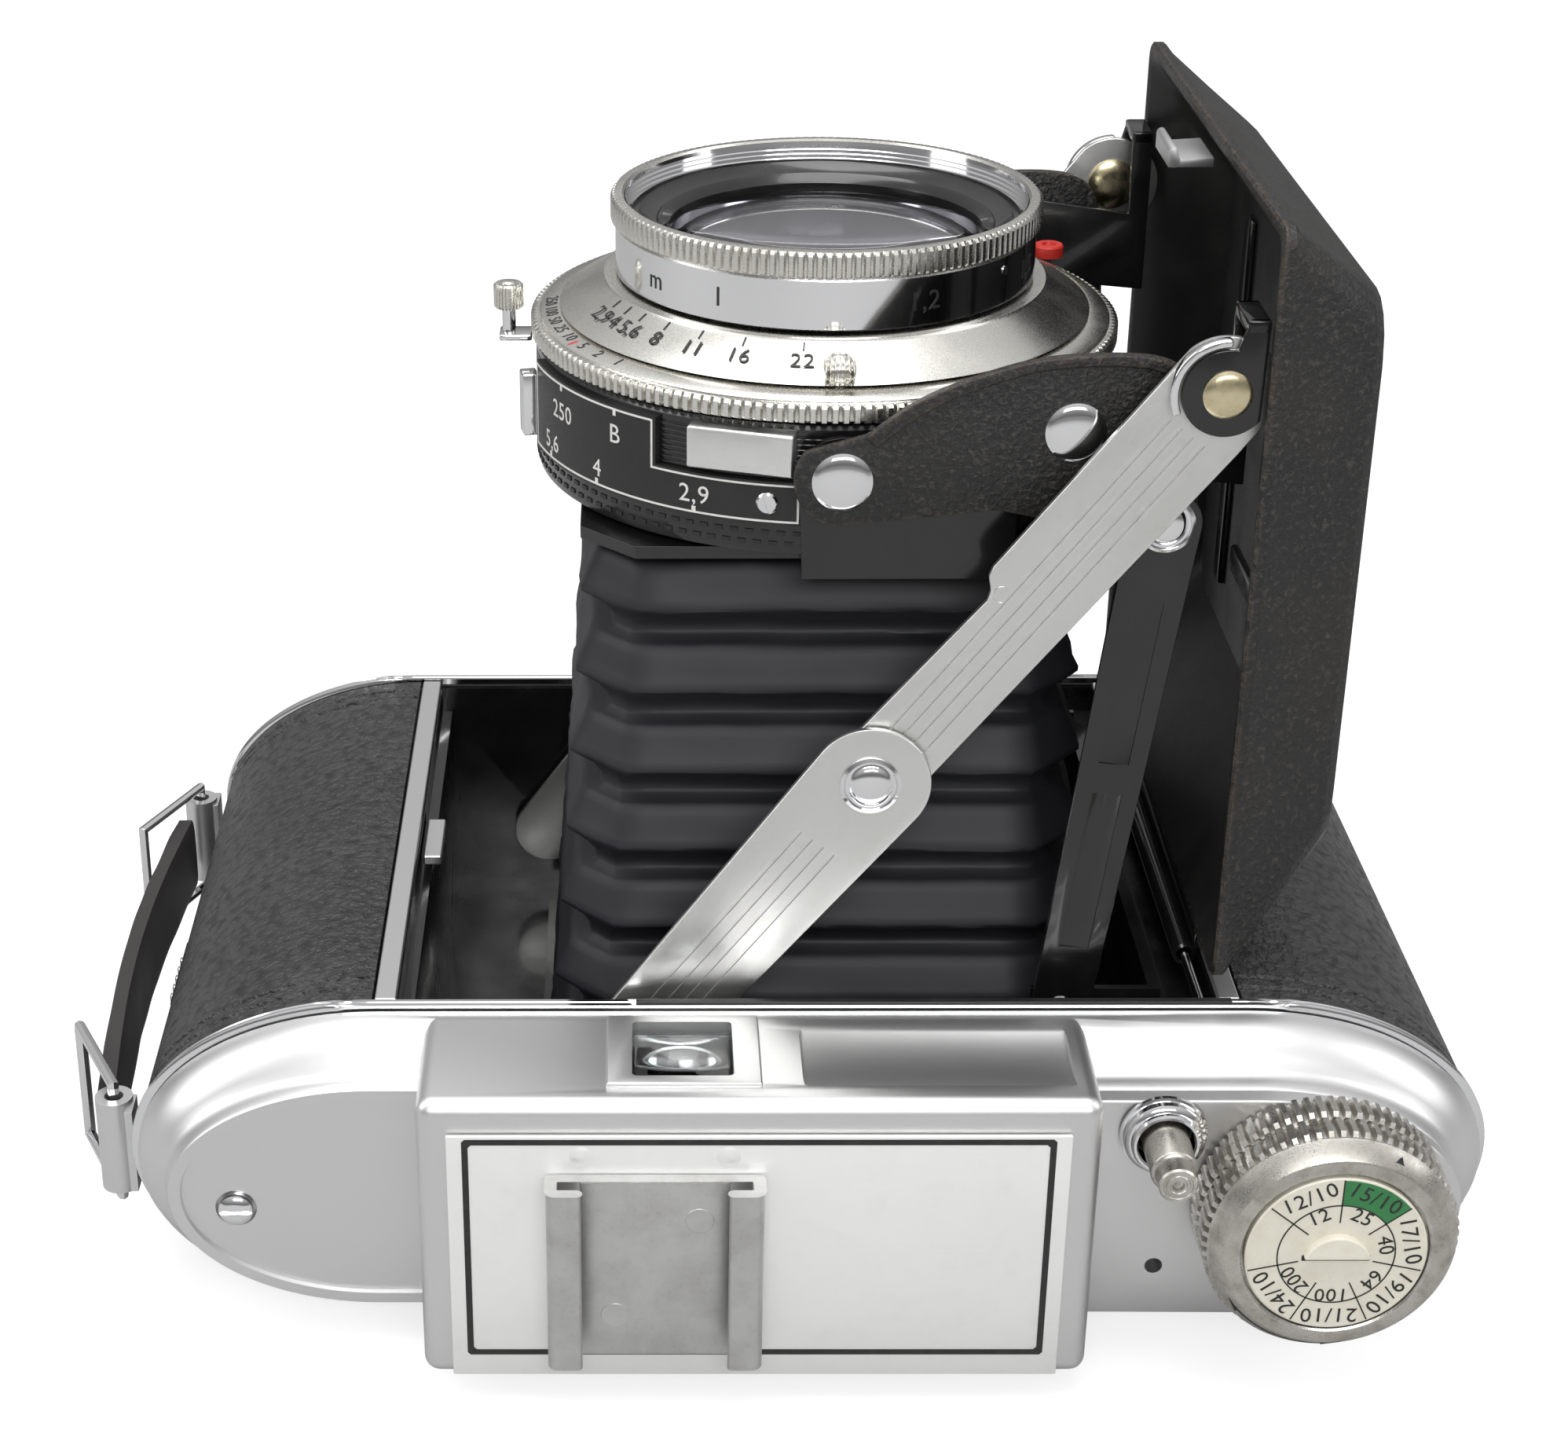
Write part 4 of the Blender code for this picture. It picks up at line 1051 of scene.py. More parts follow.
@dataclass
class TopHousing:
    """The pressed cover with the finder, the name plate and the accessory shoe.

    Attributes:
        shop: where the pieces are made.
        block: lowest and highest corner of the raised block.
        window: lowest and highest (x, y) of the finder's window.
        screw: the housing screw.
        knob: the advance knob's axis.
        button: the release button's axis.
    """

    shop: Workshop
    block: tuple[Point, Point] = ((-40.8, -56.8, 2.2), (25.4, -39.8, 34.4))
    window: tuple[Flat, Flat] = ((-20.0, -52.6), (-9.9, -42.6))
    screw: Flat = (-60.0, 15.9)
    knob: Flat = (48.2, 18.9)
    button: Flat = (32.4, 26.7)

    def make(self) -> None:
        """Makes every piece of the housing."""
        self.make_cover()
        self.make_finder()
        self.make_plate()
        self.make_shoe()
        self.make_screw()

    def make_cover(self) -> None:
        """The cover itself: coved lobes, a recessed end plate, the raised block and the right platform."""
        levels = [
            (-39.8, 0.3), (-41.0, 0.42), (-42.0, 0.75), (-43.0, 1.3), (-43.9, 2.0), (-44.7, 2.85),
            (-45.3, 3.6), (-45.9, 4.05), (-46.6, 4.2), (-47.6, 4.3), (-47.9, 4.5),
        ]
        cover = OUTLINE.deck(levels)
        recess = OUTLINE.deck([(-47.45, 5.8), (-49.0, 5.4)])
        bmesh.ops.bisect_plane(
            recess, geom=[*recess.verts, *recess.edges, *recess.faces], plane_co=(-38, 0, 0),
            plane_no=(1, 0, 0), clear_outer=True
        )
        bmesh.ops.holes_fill(recess, edges=recess.edges, sides=0)
        cover = combine(cover, recess, Join.CUT)
        low, high = self.block
        cover = combine(cover, box(low, high, 1.6, 8), Join.UNION)
        edge = [(23.4, 4.6), (23.4, 30.2)] + [OUTLINE.at(1, 4.5, 90 - 3.75 * step) for step in range(49)]
        cover = combine(cover, rounded(prism(edge, -49.8, -46.9), 0.35, 3), Join.UNION)
        for cutter in self.hollows():
            cover = combine(cover, cutter, Join.CUT)
        self.shop.piece("top_cover", cover, FINISH.satin_chrome, replaces=("top_housing",), sharp=28.0)

    def hollows(self) -> list[bmesh.types.BMesh]:
        """Every hollow in the cover."""
        (x0, y0), (x1, y1) = self.window
        scoop = bmesh.new()
        bmesh.ops.create_cone(scoop, cap_ends=True, segments=160, radius1=15.5, radius2=15.5, depth=26.5)
        moved(scoop, Matrix.Translation((9.9, -48.4, 34.4 + 14.6)) @ Matrix.Rotation(math.pi / 2, 4, "Y"))
        return [
            box((x0, y0, 22.0), (x1, y1, 37.0)),
            rounded(scoop, 0.4, 2),
            turned([(0, -2.0), (3.0, -2.0), (3.0, 8.0), (0, 8.0)], (-15.0, -47.6), Axis.Z, 48),
            turned([(0, -54.0), (3.3, -54.0), (3.3, -42.0), (0, -42.0)], self.knob, Axis.Y, 48),
            turned([(0, -54.0), (2.8, -54.0), (2.8, -41.0), (0, -41.0)], self.button, Axis.Y, 48),
            turned([(0, -54.0), (0.9, -54.0), (0.9, -45.0), (0, -45.0)], (32.7, 10.5), Axis.Y, 32),
            turned([(0, -50.0), (2.1, -50.0), (2.1, -46.4), (0, -46.4)], self.screw, Axis.Y, 40),
        ]

    def make_finder(self) -> None:
        """The finder's front frame, window, inner lens and eyepiece."""
        (x0, y0), (x1, y1) = self.window
        outer = box((x0 - 2.4, y0 - 1.3, 34.1), (x1 + 2.6, y1 + 1.3, 34.95), 0.3, 3)
        opening = rounded(box((x0 + 0.1, y0 + 0.1, 33.0), (x1 - 0.1, y1 - 0.1, 36.0)), 0.5, 4, 80.0)
        self.shop.piece("finder_frame", combine(outer, opening, Join.CUT), FINISH.satin_chrome, sharp=28.0)
        pane = box((x0 + 0.3, y0 + 0.3, 33.0), (x1 - 0.3, y1 - 0.3, 33.8), 0.15, 2)
        self.shop.piece("finder_pane", pane, FINISH.window_glass, replaces=("finder_window",))
        middle = ((x0 + x1) / 2, (y0 + y1) / 2)
        lens = turned(
            [(0, 27.0), (4.6, 27.0), (4.6, 28.0), (3.6, 28.9), (2.4, 29.5), (1.2, 29.9), (0, 30.0)], middle
        )
        self.shop.piece("finder_lens", lens, FINISH.window_glass)
        mount = turned(
            [(4.0, 25.5), (4.95, 25.5), (4.95, 30.8), (4.65, 30.8), (4.65, 26.9), (4.0, 26.9)], middle
        )
        self.shop.piece("finder_mount", mount, FINISH.bright_chrome)
        tunnel = box((x0 + 0.02, y0 + 0.02, 22.1), (x1 - 0.02, y1 - 0.02, 22.4))
        self.shop.piece("finder_back_wall", tunnel, FINISH.dull_black)
        self.shop.piece(
            "eyepiece",
            turned([(0, 2.4), (2.7, 2.4), (2.7, 3.2), (0, 3.5)], (-15.0, -47.6), Axis.Z, 64),
            FINISH.window_glass,
            replaces=("finder_eyepiece",),
        )

    def make_plate(self) -> None:
        """The brushed plate on the block, with its black border line and two pressed bumps."""
        plate = box((-37.8, -57.5, 2.9), (22.3, -57.0, 31.2), 0.12, 2)
        self.shop.piece("brushed_name_plate", plate, FINISH.brushed_plate, replaces=("name_plate",))
        self.shop.piece(
            "plate_border", border((-36.3, 5.4), (20.8, 30.9), 0.62, -57.49, 0.05), FINISH.black_ink
        )
        for count, x in enumerate((-24.8, -10.6)):
            bump = [(0, -57.72), (0.5, -57.69), (0.95, -57.6), (1.2, -57.48), (1.2, -57.3), (0, -57.3)]
            self.shop.piece(f"plate_bump_{count}", turned(bump, (x, 28.9), Axis.Y, 32), FINISH.brushed_plate)

    def make_shoe(self) -> None:
        """The accessory shoe: a sheet with two rolled rails, and its two spot welds."""
        left, right, floor, rise, lip, sheet = -28.2, -7.2, -57.8, -61.3, 3.4, 0.9
        middle = (left + right) / 2
        side = [
            *arc((left + 0.5, floor - 0.5), 0.5, 90, 180, 4),
            *arc((left + 1.0, rise + 1.0), 1.0, 180, 270, 8),
            *arc((left + lip - 0.45, rise + 0.45), 0.45, -90, 90, 8),
            *arc((left + sheet + 0.3, rise + sheet + 0.3), 0.3, 270, 180, 4),
            *arc((left + sheet + 0.3, floor - sheet - 0.3), 0.3, 180, 90, 4),
        ]
        section = side + [(2 * middle - x, y) for x, y in side[::-1]]
        shoe = loft([[(x, y, z) for x, y in section] for z in (6.3, 27.0)])
        self.shop.piece(
            "shoe_sheet", rounded(shoe, 0.16, 3, 60.0), FINISH.rail_grey, replaces=("accessory_shoe",)
        )
        pad = box((-24.9, floor - sheet - 0.12, 6.5), (-10.5, floor - sheet + 0.1, 26.8), 0.08, 2)
        self.shop.piece("shoe_pad", pad, FINISH.rail_grey)
        weld = [
            (0, -58.83), (0.9, -58.83), (1.1, -58.86), (1.25, -58.9), (1.4, -58.86), (1.5, -58.7), (0, -58.7)
        ]
        for count, place in enumerate(((-13.4, 22.4), (-21.6, 11.2))):
            self.shop.piece(f"shoe_weld_{count}", turned(weld, place, Axis.Y, 48), FINISH.rail_grey)

    def make_screw(self) -> None:
        """The slotted screw on the left end plate."""
        head = [
            (0, -46.4), (1.1, -46.4), (1.1, -47.3), (1.75, -47.6), (1.75, -47.95), (1.45, -48.25),
            (0.8, -48.45), (0, -48.5)
        ]
        x, z = self.screw
        slot = box((x - 3, -49, z - 0.25), (x + 3, -48.0, z + 0.25))
        self.shop.piece(
            "cover_screw",
            combine(turned(head, self.screw, Axis.Y, 64), slot, Join.CUT),
            FINISH.bright_chrome,
            replaces=("housing_screw",),
        )


@dataclass
class Winding:
    """The advance knob with its film dial, the take-up spool and the release button.

    Attributes:
        shop: where the pieces are made.
        knob: the knob's axis.
        button: the button's axis.
        teeth: how many knurls go round the knob.
        top: the height of the knob's top.
    """

    shop: Workshop
    knob: Flat = (48.2, 18.9)
    button: Flat = (32.4, 26.7)
    teeth: int = 66
    top: float = -59.3

    def make(self) -> None:
        """Makes every piece of the winding."""
        self.make_knob()
        self.make_dial()
        self.make_button()
        self.shop.refined("take_up_spool", FINISH.dull_black, "knob", 0.12)

    def make_knob(self) -> None:
        """The knob: a turned core, two knurled bands, and the arrow and mark on its sloping ring."""
        top = self.top
        core = [
            (0, -32.4), (2.6, -32.4), (2.6, -50.1), (11.3, -50.1), (11.6, -50.4), (11.6, -57.2),
            (12.1, -57.3), (12.15, -57.5), (11.9, -57.75), (10.75, top + 0.12), (10.5, top), (9.3, top),
            (9.1, top + 0.15), (9.1, top + 0.9), (0, top + 0.9),
        ]
        self.shop.piece(
            "knob_core", turned(core, self.knob, Axis.Y, 160), FINISH.worn_nickel, "knob", ("advance_knob",)
        )
        for count, (low, high) in enumerate(((-50.25, -53.75), (-54.15, -57.15))):
            levels = [
                (11.4, low, 0.0), (12.05, low, 0.3), (12.5, low - 0.4, 0.62), (12.5, high + 0.4, 0.62),
                (12.05, high, 0.3), (11.4, high, 0.0),
            ]
            band = knurled(levels, self.teeth, self.knob, Axis.Y, (0.0, 0.3, 0.72, 1.0))
            self.shop.piece(f"knob_knurls_{count}", band, FINISH.worn_nickel, "knob", sharp=24.0)
        self.shop.piece("knob_marks", merged(self.marks()), FINISH.black_ink, "knob")

    def slope(self, shape: bmesh.types.BMesh, angle: float, along: float = 0.5) -> bmesh.types.BMesh:
        """Lays a flat shape on the knob's sloping ring, at an angle in degrees seen from above."""
        radius = 11.9 + (10.75 - 11.9) * along
        height = 57.75 + 1.43 * along
        wrapped(shape, angle, radius, height + 0.02, 51.0)
        moved(shape, Matrix.Rotation(math.radians(90), 4, "X"))
        return moved(shape, Matrix.Translation((self.knob[0], 0.0, self.knob[1])))

    def marks(self) -> list[bmesh.types.BMesh]:
        """The small triangle and the curved arrow with two heads."""

        def flat(outline: Sequence[Flat], slices: int = 1) -> bmesh.types.BMesh:
            shape = bmesh.new()
            face = shape.faces.new([shape.verts.new((x, y, -0.02)) for x, y in outline])
            made = bmesh.ops.extrude_face_region(shape, geom=[face])["geom"]
            bmesh.ops.translate(
                shape, vec=(0, 0, 0.05), verts=[v for v in made if isinstance(v, bmesh.types.BMVert)]
            )
            for cut in range(1, slices):
                x = outline[0][0] + (outline[1][0] - outline[0][0]) * cut / slices
                geometry = [*shape.verts, *shape.edges, *shape.faces]
                bmesh.ops.bisect_plane(shape, geom=geometry, plane_co=(x, 0, 0), plane_no=(1, 0, 0))
            return shape

        triangle = self.slope(flat([(-0.75, 0.55), (0.75, 0.55), (0.0, -0.6)]), 62.0)
        line = self.slope(flat([(-5.5, -0.16), (5.5, -0.16), (5.5, 0.16), (-5.5, 0.16)], 24), 245.0)
        heads = [
            self.slope(flat([(-1.0, -0.55), (0.9, 0.0), (-1.0, 0.55)]), 245.0 + 29.5),
            self.slope(flat([(1.0, 0.55), (-0.9, 0.0), (1.0, -0.55)]), 245.0 - 29.5),
        ]
        return [triangle, line, *heads]

    def make_dial(self) -> None:
        """The film dial: cream disc, green sector, ring and radial lines, figures and the half-moon grip."""
        top = self.top
        base = [(0, top + 0.75), (8.8, top + 0.75), (8.8, top + 0.02), (8.65, top - 0.1), (0, top - 0.1)]
        self.shop.piece(
            "dial_disc", turned(base, self.knob, Axis.Y, 128), FINISH.cream, "dial", ("film_dial",)
        )
        step = 360.0 / 7.0

        def lay(shape: bmesh.types.BMesh) -> bmesh.types.BMesh:
            return on_face(shape, self.knob, top - 0.1)

        sector = curved_box((90.0 - step, 90.0), (-0.02, 0.02), (5.75, 8.55), 3.0)
        self.shop.piece("dial_green", lay(sector), FINISH.green, "dial")
        lines = [turned([(5.62, -0.02), (5.76, -0.02), (5.76, 0.035), (5.62, 0.035)])]
        figures = []
        labels = ("15/10", "17/10", "19/10", "21/10", "24/10", "", "12/10")
        speeds = ("25", "40", "64", "100", "200", "", "12")
        for count, (label, speed) in enumerate(zip(labels, speeds)):
            turn = math.radians(90.0 - step * count)
            ray = box((3.7, -0.07, -0.02), (8.6, 0.07, 0.035))
            lines.append(moved(ray, Matrix.Rotation(turn, 4, "Z")))
            middle = math.radians(90.0 - step * (count + 0.5))
            for text, size, reach in ((label, 1.7, 7.15), (speed, 1.55, 4.75)):
                if text:
                    spin = Matrix.Rotation(
                        middle - math.pi / 2, 4, "Z"
                    ) @ Matrix.Translation((0, reach, 0.02))
                    figures.append(moved(numeral(text, size), spin))
        self.shop.piece("dial_lines", merged([lay(shape) for shape in lines]), FINISH.black_ink, "dial")
        self.shop.piece("dial_figures", merged([lay(shape) for shape in figures]), FINISH.black_ink, "dial")
        outline = arc((self.knob[0], self.knob[1] - 0.9), 3.3, 14, 166, 40)
        grip = rounded(prism(outline, top - 1.0, top + 0.2), 0.18, 3)
        self.shop.piece("dial_grip", grip, FINISH.cream, "dial")
        x, z = self.knob
        groove = box((x - 3.3, top - 0.16, z - 0.75), (x + 3.3, top - 0.02, z - 0.1), 0.04, 1)
        self.shop.piece("dial_groove", groove, FINISH.black_ink, "dial")

    def make_button(self) -> None:
        """The release button and its stepped collar."""
        collar = [
            (2.8, -50.1), (4.3, -50.1), (4.3, -50.5), (4.05, -50.6), (4.0, -51.4), (3.75, -51.7),
            (3.45, -51.8), (3.4, -52.2), (3.2, -52.4), (2.95, -52.4), (2.8, -52.2),
        ]
        self.shop.piece(
            "button_collar", turned(collar, self.button, Axis.Y), FINISH.bright_chrome,
            replaces=("release_collar",)
        )
        top = self.top
        stem = [
            (0, -42.5), (2.3, -42.5), (2.3, top + 2.5), (2.2, top + 2.35), (1.95, top + 2.2),
            (1.9, top + 2.0), (1.9, top + 0.2), (1.75, top)
        ]
        rings = [
            (1.45, top), (1.38, top + 0.1), (1.2, top + 0.1), (1.12, top), (0.85, top), (0.78, top + 0.1),
            (0.6, top + 0.12), (0.5, top + 0.5), (0, top + 0.6)
        ]
        self.shop.piece(
            "button_stem", turned(stem + rings, self.button, Axis.Y), FINISH.worn_nickel, "button",
            ("release_button",)
        )


@dataclass
class Strap:
    """The carrying strap with its lugs and rings."""

    shop: Workshop
    half: float = 29.5

    def make(self) -> None:
        """Makes every piece of the strap."""
        for name in ("near", "far"):
            self.shop.refined(f"strap_lug_{name}", FINISH.satin_chrome, bevel=0.15)
            self.shop.refined(f"strap_ring_{name}", FINISH.bright_chrome, bevel=0.05)
        self.make_band()

    def make_band(self) -> None:
        """The leather band, padded in the middle of its width and creased at its edges."""
        section = [(0.15, 0.0), (0.0, 0.5), (-0.25, 1.6), (-0.35, 4.9), (-0.25, 8.2), (0.0, 9.3), (0.15, 9.8)]
        section += [(1.75, 9.8), (1.9, 9.3), (2.0, 8.2), (2.05, 4.9), (2.0, 1.6), (1.9, 0.5), (1.75, 0.0)]
        loops = []
        for step in range(57):
            y = -self.half + 2 * self.half * step / 56
            bow = -76.2 - 2.0 * math.cos(math.pi * y / 66.0)
            taper = 0.94 + 0.06 * math.cos(math.pi * y / 60.0)
            loops.append([(bow + x, y, 15.1 + (z - 4.9) * taper) for x, z in section])
        band = crumpled(loft(loops), 7.0, 0.16, 3.0)
        self.shop.piece("strap_band", band, FINISH.strap, replaces=("carrying_strap",))


def bed_loop(
    x: float, low: float, high: float, half: float, corner: float = 2.0, steps: int = 4
) -> list[Point]:
    """A rectangle with rounded corners across the bed at one depth."""
    corners = (
        (half - corner, low + corner, -90.0), (half - corner, high - corner, 0.0),
        (corner - half, high - corner, 90.0), (corner - half, low + corner, 180.0),
    )
    loop = []
    for y, z, start in corners:
        loop += [(x, py, pz) for py, pz in arc((y, z), corner, start, start + 90, steps)]
    return loop


@dataclass(frozen=True)
class Pivots:
    """The linkage's pivots as (x, z), and the layers that its plates lie in, from the middle plane out."""

    ear: Flat = (34.9, 98.6)
    brace_middle: Flat = (3.5, 58.4)
    brace_foot: Flat = (-30.6, 14.7)
    arm_door: Flat = (21.95, 93.35)
    arm_lens: Flat = (0.15, 88.4)
    link_top: Flat = (30.8, 84.7)
    link_foot: Flat = (24.0, 30.5)
    ear_layer: Flat = (36.1, 36.8)
    upper_layer: Flat = (35.1, 35.8)
    link_layer: Flat = (33.4, 34.1)
    arm_layer: Flat = (31.5, 32.3)
    lug_layer: Flat = (30.5, 31.2)


PIVOTS = Pivots()


def layered(layer: Flat, side: int) -> Flat:
    """The low and high y of a layer on the near side (-1) or the far side (1)."""
    low, high = sorted(side * distance for distance in layer)
    return low, high


def rivet(place: Flat, radius: float, layer: Flat, side: int, ring: bool = False) -> bmesh.types.BMesh:
    """A domed rivet head, with a turned ring round it if asked."""
    base, top = layer[1] - 0.15, layer[1] + 0.8
    profile = [(0.0, base), (radius, base), (radius, base + 0.4)]
    if ring:
        profile += [(radius - 0.35, base + 0.55), (radius - 0.5, base + 0.35), (radius - 0.75, base + 0.35)]
        radius -= 0.85
    for step in range(1, 9):
        turn = math.radians(90.0 * step / 8)
        profile.append((radius * 0.96 * math.cos(turn), base + 0.4 + (top - base - 0.4) * math.sin(turn)))
    return turned([(r, side * y) for r, y in profile], place, Axis.Y, 64)


@dataclass
class Linkage:
    """The diagonal braces, the black links and the lens arms on both sides.

    Attributes:
        shop: where the pieces are made.
        pivots: where they turn.
        groove_places: where the engraved lines lie across a brace.
    """

    shop: Workshop
    pivots: Pivots = PIVOTS
    groove_places: tuple[float, ...] = (-2.1, -0.7, 0.7, 2.1)

    def make(self) -> None:
        """Makes the linkage on the near side and the far side."""
        for side, name in ((-1, "near"), (1, "far")):
            self.make_braces(side, name)
            self.make_link(side, name)
            self.make_arm(side, name)

    def grooves(self, start: Flat, end: Flat, trim: Flat, side: int, face: float) -> bmesh.types.BMesh:
        """Cutters for four parallel engraved lines between two pivots.

        Args:
            start: the first pivot.
            end: the second pivot.
            trim: how far the lines stop short of each pivot.
            side: -1 for the near side.
            face: the distance of the outer face from the middle plane.

        Returns:
            The cutters as one shape.
        """
        length = math.dist(start, end)
        turn = math.atan2(end[1] - start[1], end[0] - start[0])
        cutters = []
        for place in self.groove_places:
            low, high = layered((face - 0.14, face + 0.5), side)
            cutter = box((trim[0], low, place - 0.14), (length - trim[1], high, place + 0.14))
            moved(cutter, Matrix.Rotation(-turn, 4, "Y"))
            cutters.append(moved(cutter, Matrix.Translation((start[0], 0.0, start[1]))))
        return merged(cutters)

    def make_braces(self, side: int, name: str) -> None:
        """The upper and the lower brace of one side."""
        p = self.pivots
        length = math.dist(p.ear, p.brace_middle)
        along = ((p.brace_middle[0] - p.ear[0]) / length, (p.brace_middle[1] - p.ear[1]) / length)

        def place(distance: float, offset: float) -> Flat:
            return (
                p.ear[0] + along[0] * distance + along[1] * offset,
                p.ear[1] + along[1] * distance - along[0] * offset,
            )

        heading = math.degrees(math.atan2(along[1], along[0]))
        outline = [
            *arc(p.ear, 5.2, heading + 100, heading + 260, 28),
            place(26.4, 5.3),
            place(27.4, 5.0),
            place(28.4, 3.9),
            place(29.4, 3.5),
            *arc(p.brace_middle, 4.4, heading - 90, heading + 90, 28),
            place(4.0, -5.2),
        ]
        low, high = layered(p.upper_layer, side)
        upper = rounded(prism(outline, low, high), 0.14, 3)
        upper = combine(
            upper, self.grooves(p.ear, p.brace_middle, (5.2, 5.5), side, p.upper_layer[1]), Join.CUT
        )
        mark = turned([(0.7, 0.0), (0.95, 0.0), (0.95, 2.0), (0.7, 2.0)], place(28.0, 2.9), Axis.Y, 32)
        base = p.upper_layer[1] - 0.1 if side > 0 else -p.upper_layer[1] - 1.9
        moved(mark, Matrix.Translation((0.0, base, 0.0)))
        upper = combine(upper, mark, Join.CUT)
        self.shop.piece(
            f"brace_upper_{name}", upper, FINISH.brace_metal, "upper_braces", (f"upper_brace_{name}",), 28.0
        )
        edge = arc(p.ear, 5.25, 88, 205, 32) + arc(p.ear, 4.45, 205, 88, 32)
        low, high = layered((p.upper_layer[1] - 0.1, p.ear_layer[1] + 0.1), side)
        self.shop.piece(
            f"brace_edge_{name}", rounded(prism(edge, low, high), 0.25, 3), FINISH.bright_chrome,
            "upper_braces"
        )
        low, high = layered(p.ear_layer, side)
        outline = bar(p.brace_foot, p.brace_middle, 4.3, 6.0, 32)
        lower = rounded(prism(outline, low, high), 0.16, 3)
        lower = combine(
            lower, self.grooves(p.brace_foot, p.brace_middle, (6.0, 8.2), side, p.ear_layer[1]), Join.CUT
        )
        self.shop.piece(
            f"brace_lower_{name}", lower, FINISH.brace_metal, "lower_braces", (f"lower_brace_{name}",), 28.0
        )
        heads = [
            rivet(p.brace_middle, 3.0, p.ear_layer, side, True), rivet(p.brace_foot, 2.0, p.ear_layer, side)
        ]
        self.shop.piece(f"brace_rivets_{name}", merged(heads), FINISH.bright_chrome, "lower_braces")

    def make_link(self, side: int, name: str) -> None:
        """The black link of one side, with a long pressed rectangle."""
        p = self.pivots
        low, high = layered(p.link_layer, side)
        link = rounded(prism(bar(p.link_foot, p.link_top, 3.0, 3.5, 28), low, high), 0.16, 3)
        length = math.dist(p.link_foot, p.link_top)
        turn = math.atan2(p.link_top[1] - p.link_foot[1], p.link_top[0] - p.link_foot[0])
        cutters = []
        for start, end in ((8.0, length * 0.47), (length * 0.53, length - 8.0)):
            y0, y1 = layered((p.link_layer[1] - 0.2, p.link_layer[1] + 0.5), side)
            panel = moved(box((start, y0, -1.5), (end, y1, 1.5), 0.12, 2), Matrix.Rotation(-turn, 4, "Y"))
            cutters.append(moved(panel, Matrix.Translation((p.link_foot[0], 0.0, p.link_foot[1]))))
        link = combine(link, merged(cutters), Join.CUT)
        self.shop.piece(f"link_{name}", link, FINISH.enamel, "links", (f"bed_link_{name}",), 28.0)
        heads = [
            rivet(p.link_top, 2.8, p.link_layer, side, True), rivet(p.link_foot, 2.0, p.link_layer, side)
        ]
        self.shop.piece(f"link_rivets_{name}", merged(heads), FINISH.bright_chrome, "links")

    def make_arm(self, side: int, name: str) -> None:
        """The lens arm of one side, with a raised rim along its upper edge."""
        p = self.pivots
        crest = smooth_path(
            [
                (33.9, 88.0), (33.6, 93.0), (32.6, 98.0), (29.8, 100.5), (23.0, 100.9), (16.3, 100.0),
                (8.0, 96.9), (2.4, 93.0)
            ],
            6
        )
        outline = [
            *arc(p.arm_lens, 4.6, 140, 265, 22), (7.0, 84.6), (14.9, 85.4), (22.0, 84.0),
            *arc(p.link_top, 3.6, 255, 340, 14), *crest,
        ]
        low, high = layered(p.arm_layer, side)
        plate = rounded(prism(outline, low, high), 0.15, 2)
        self.shop.piece(f"arm_{name}", plate, FINISH.crackle, "lens_arms", (f"lens_arm_{name}",), 28.0)
        band = [(x - 0.2, z) for x, z in crest]
        inner = [(x + (18.0 - x) * 0.055, z - 1.0) for x, z in crest]
        low, high = layered((p.arm_layer[1] - 0.1, p.arm_layer[1] + 0.55), side)
        rim = rounded(prism(band + inner[::-1], low, high), 0.2, 3)
        self.shop.piece(f"arm_rim_{name}", rim, FINISH.crackle, "lens_arms", sharp=28.0)
        heads = [rivet(p.arm_lens, 2.9, p.arm_layer, side), rivet(p.arm_door, 2.9, p.arm_layer, side)]
        self.shop.piece(f"arm_rivets_{name}", merged(heads), FINISH.bright_chrome, "lens_arms")


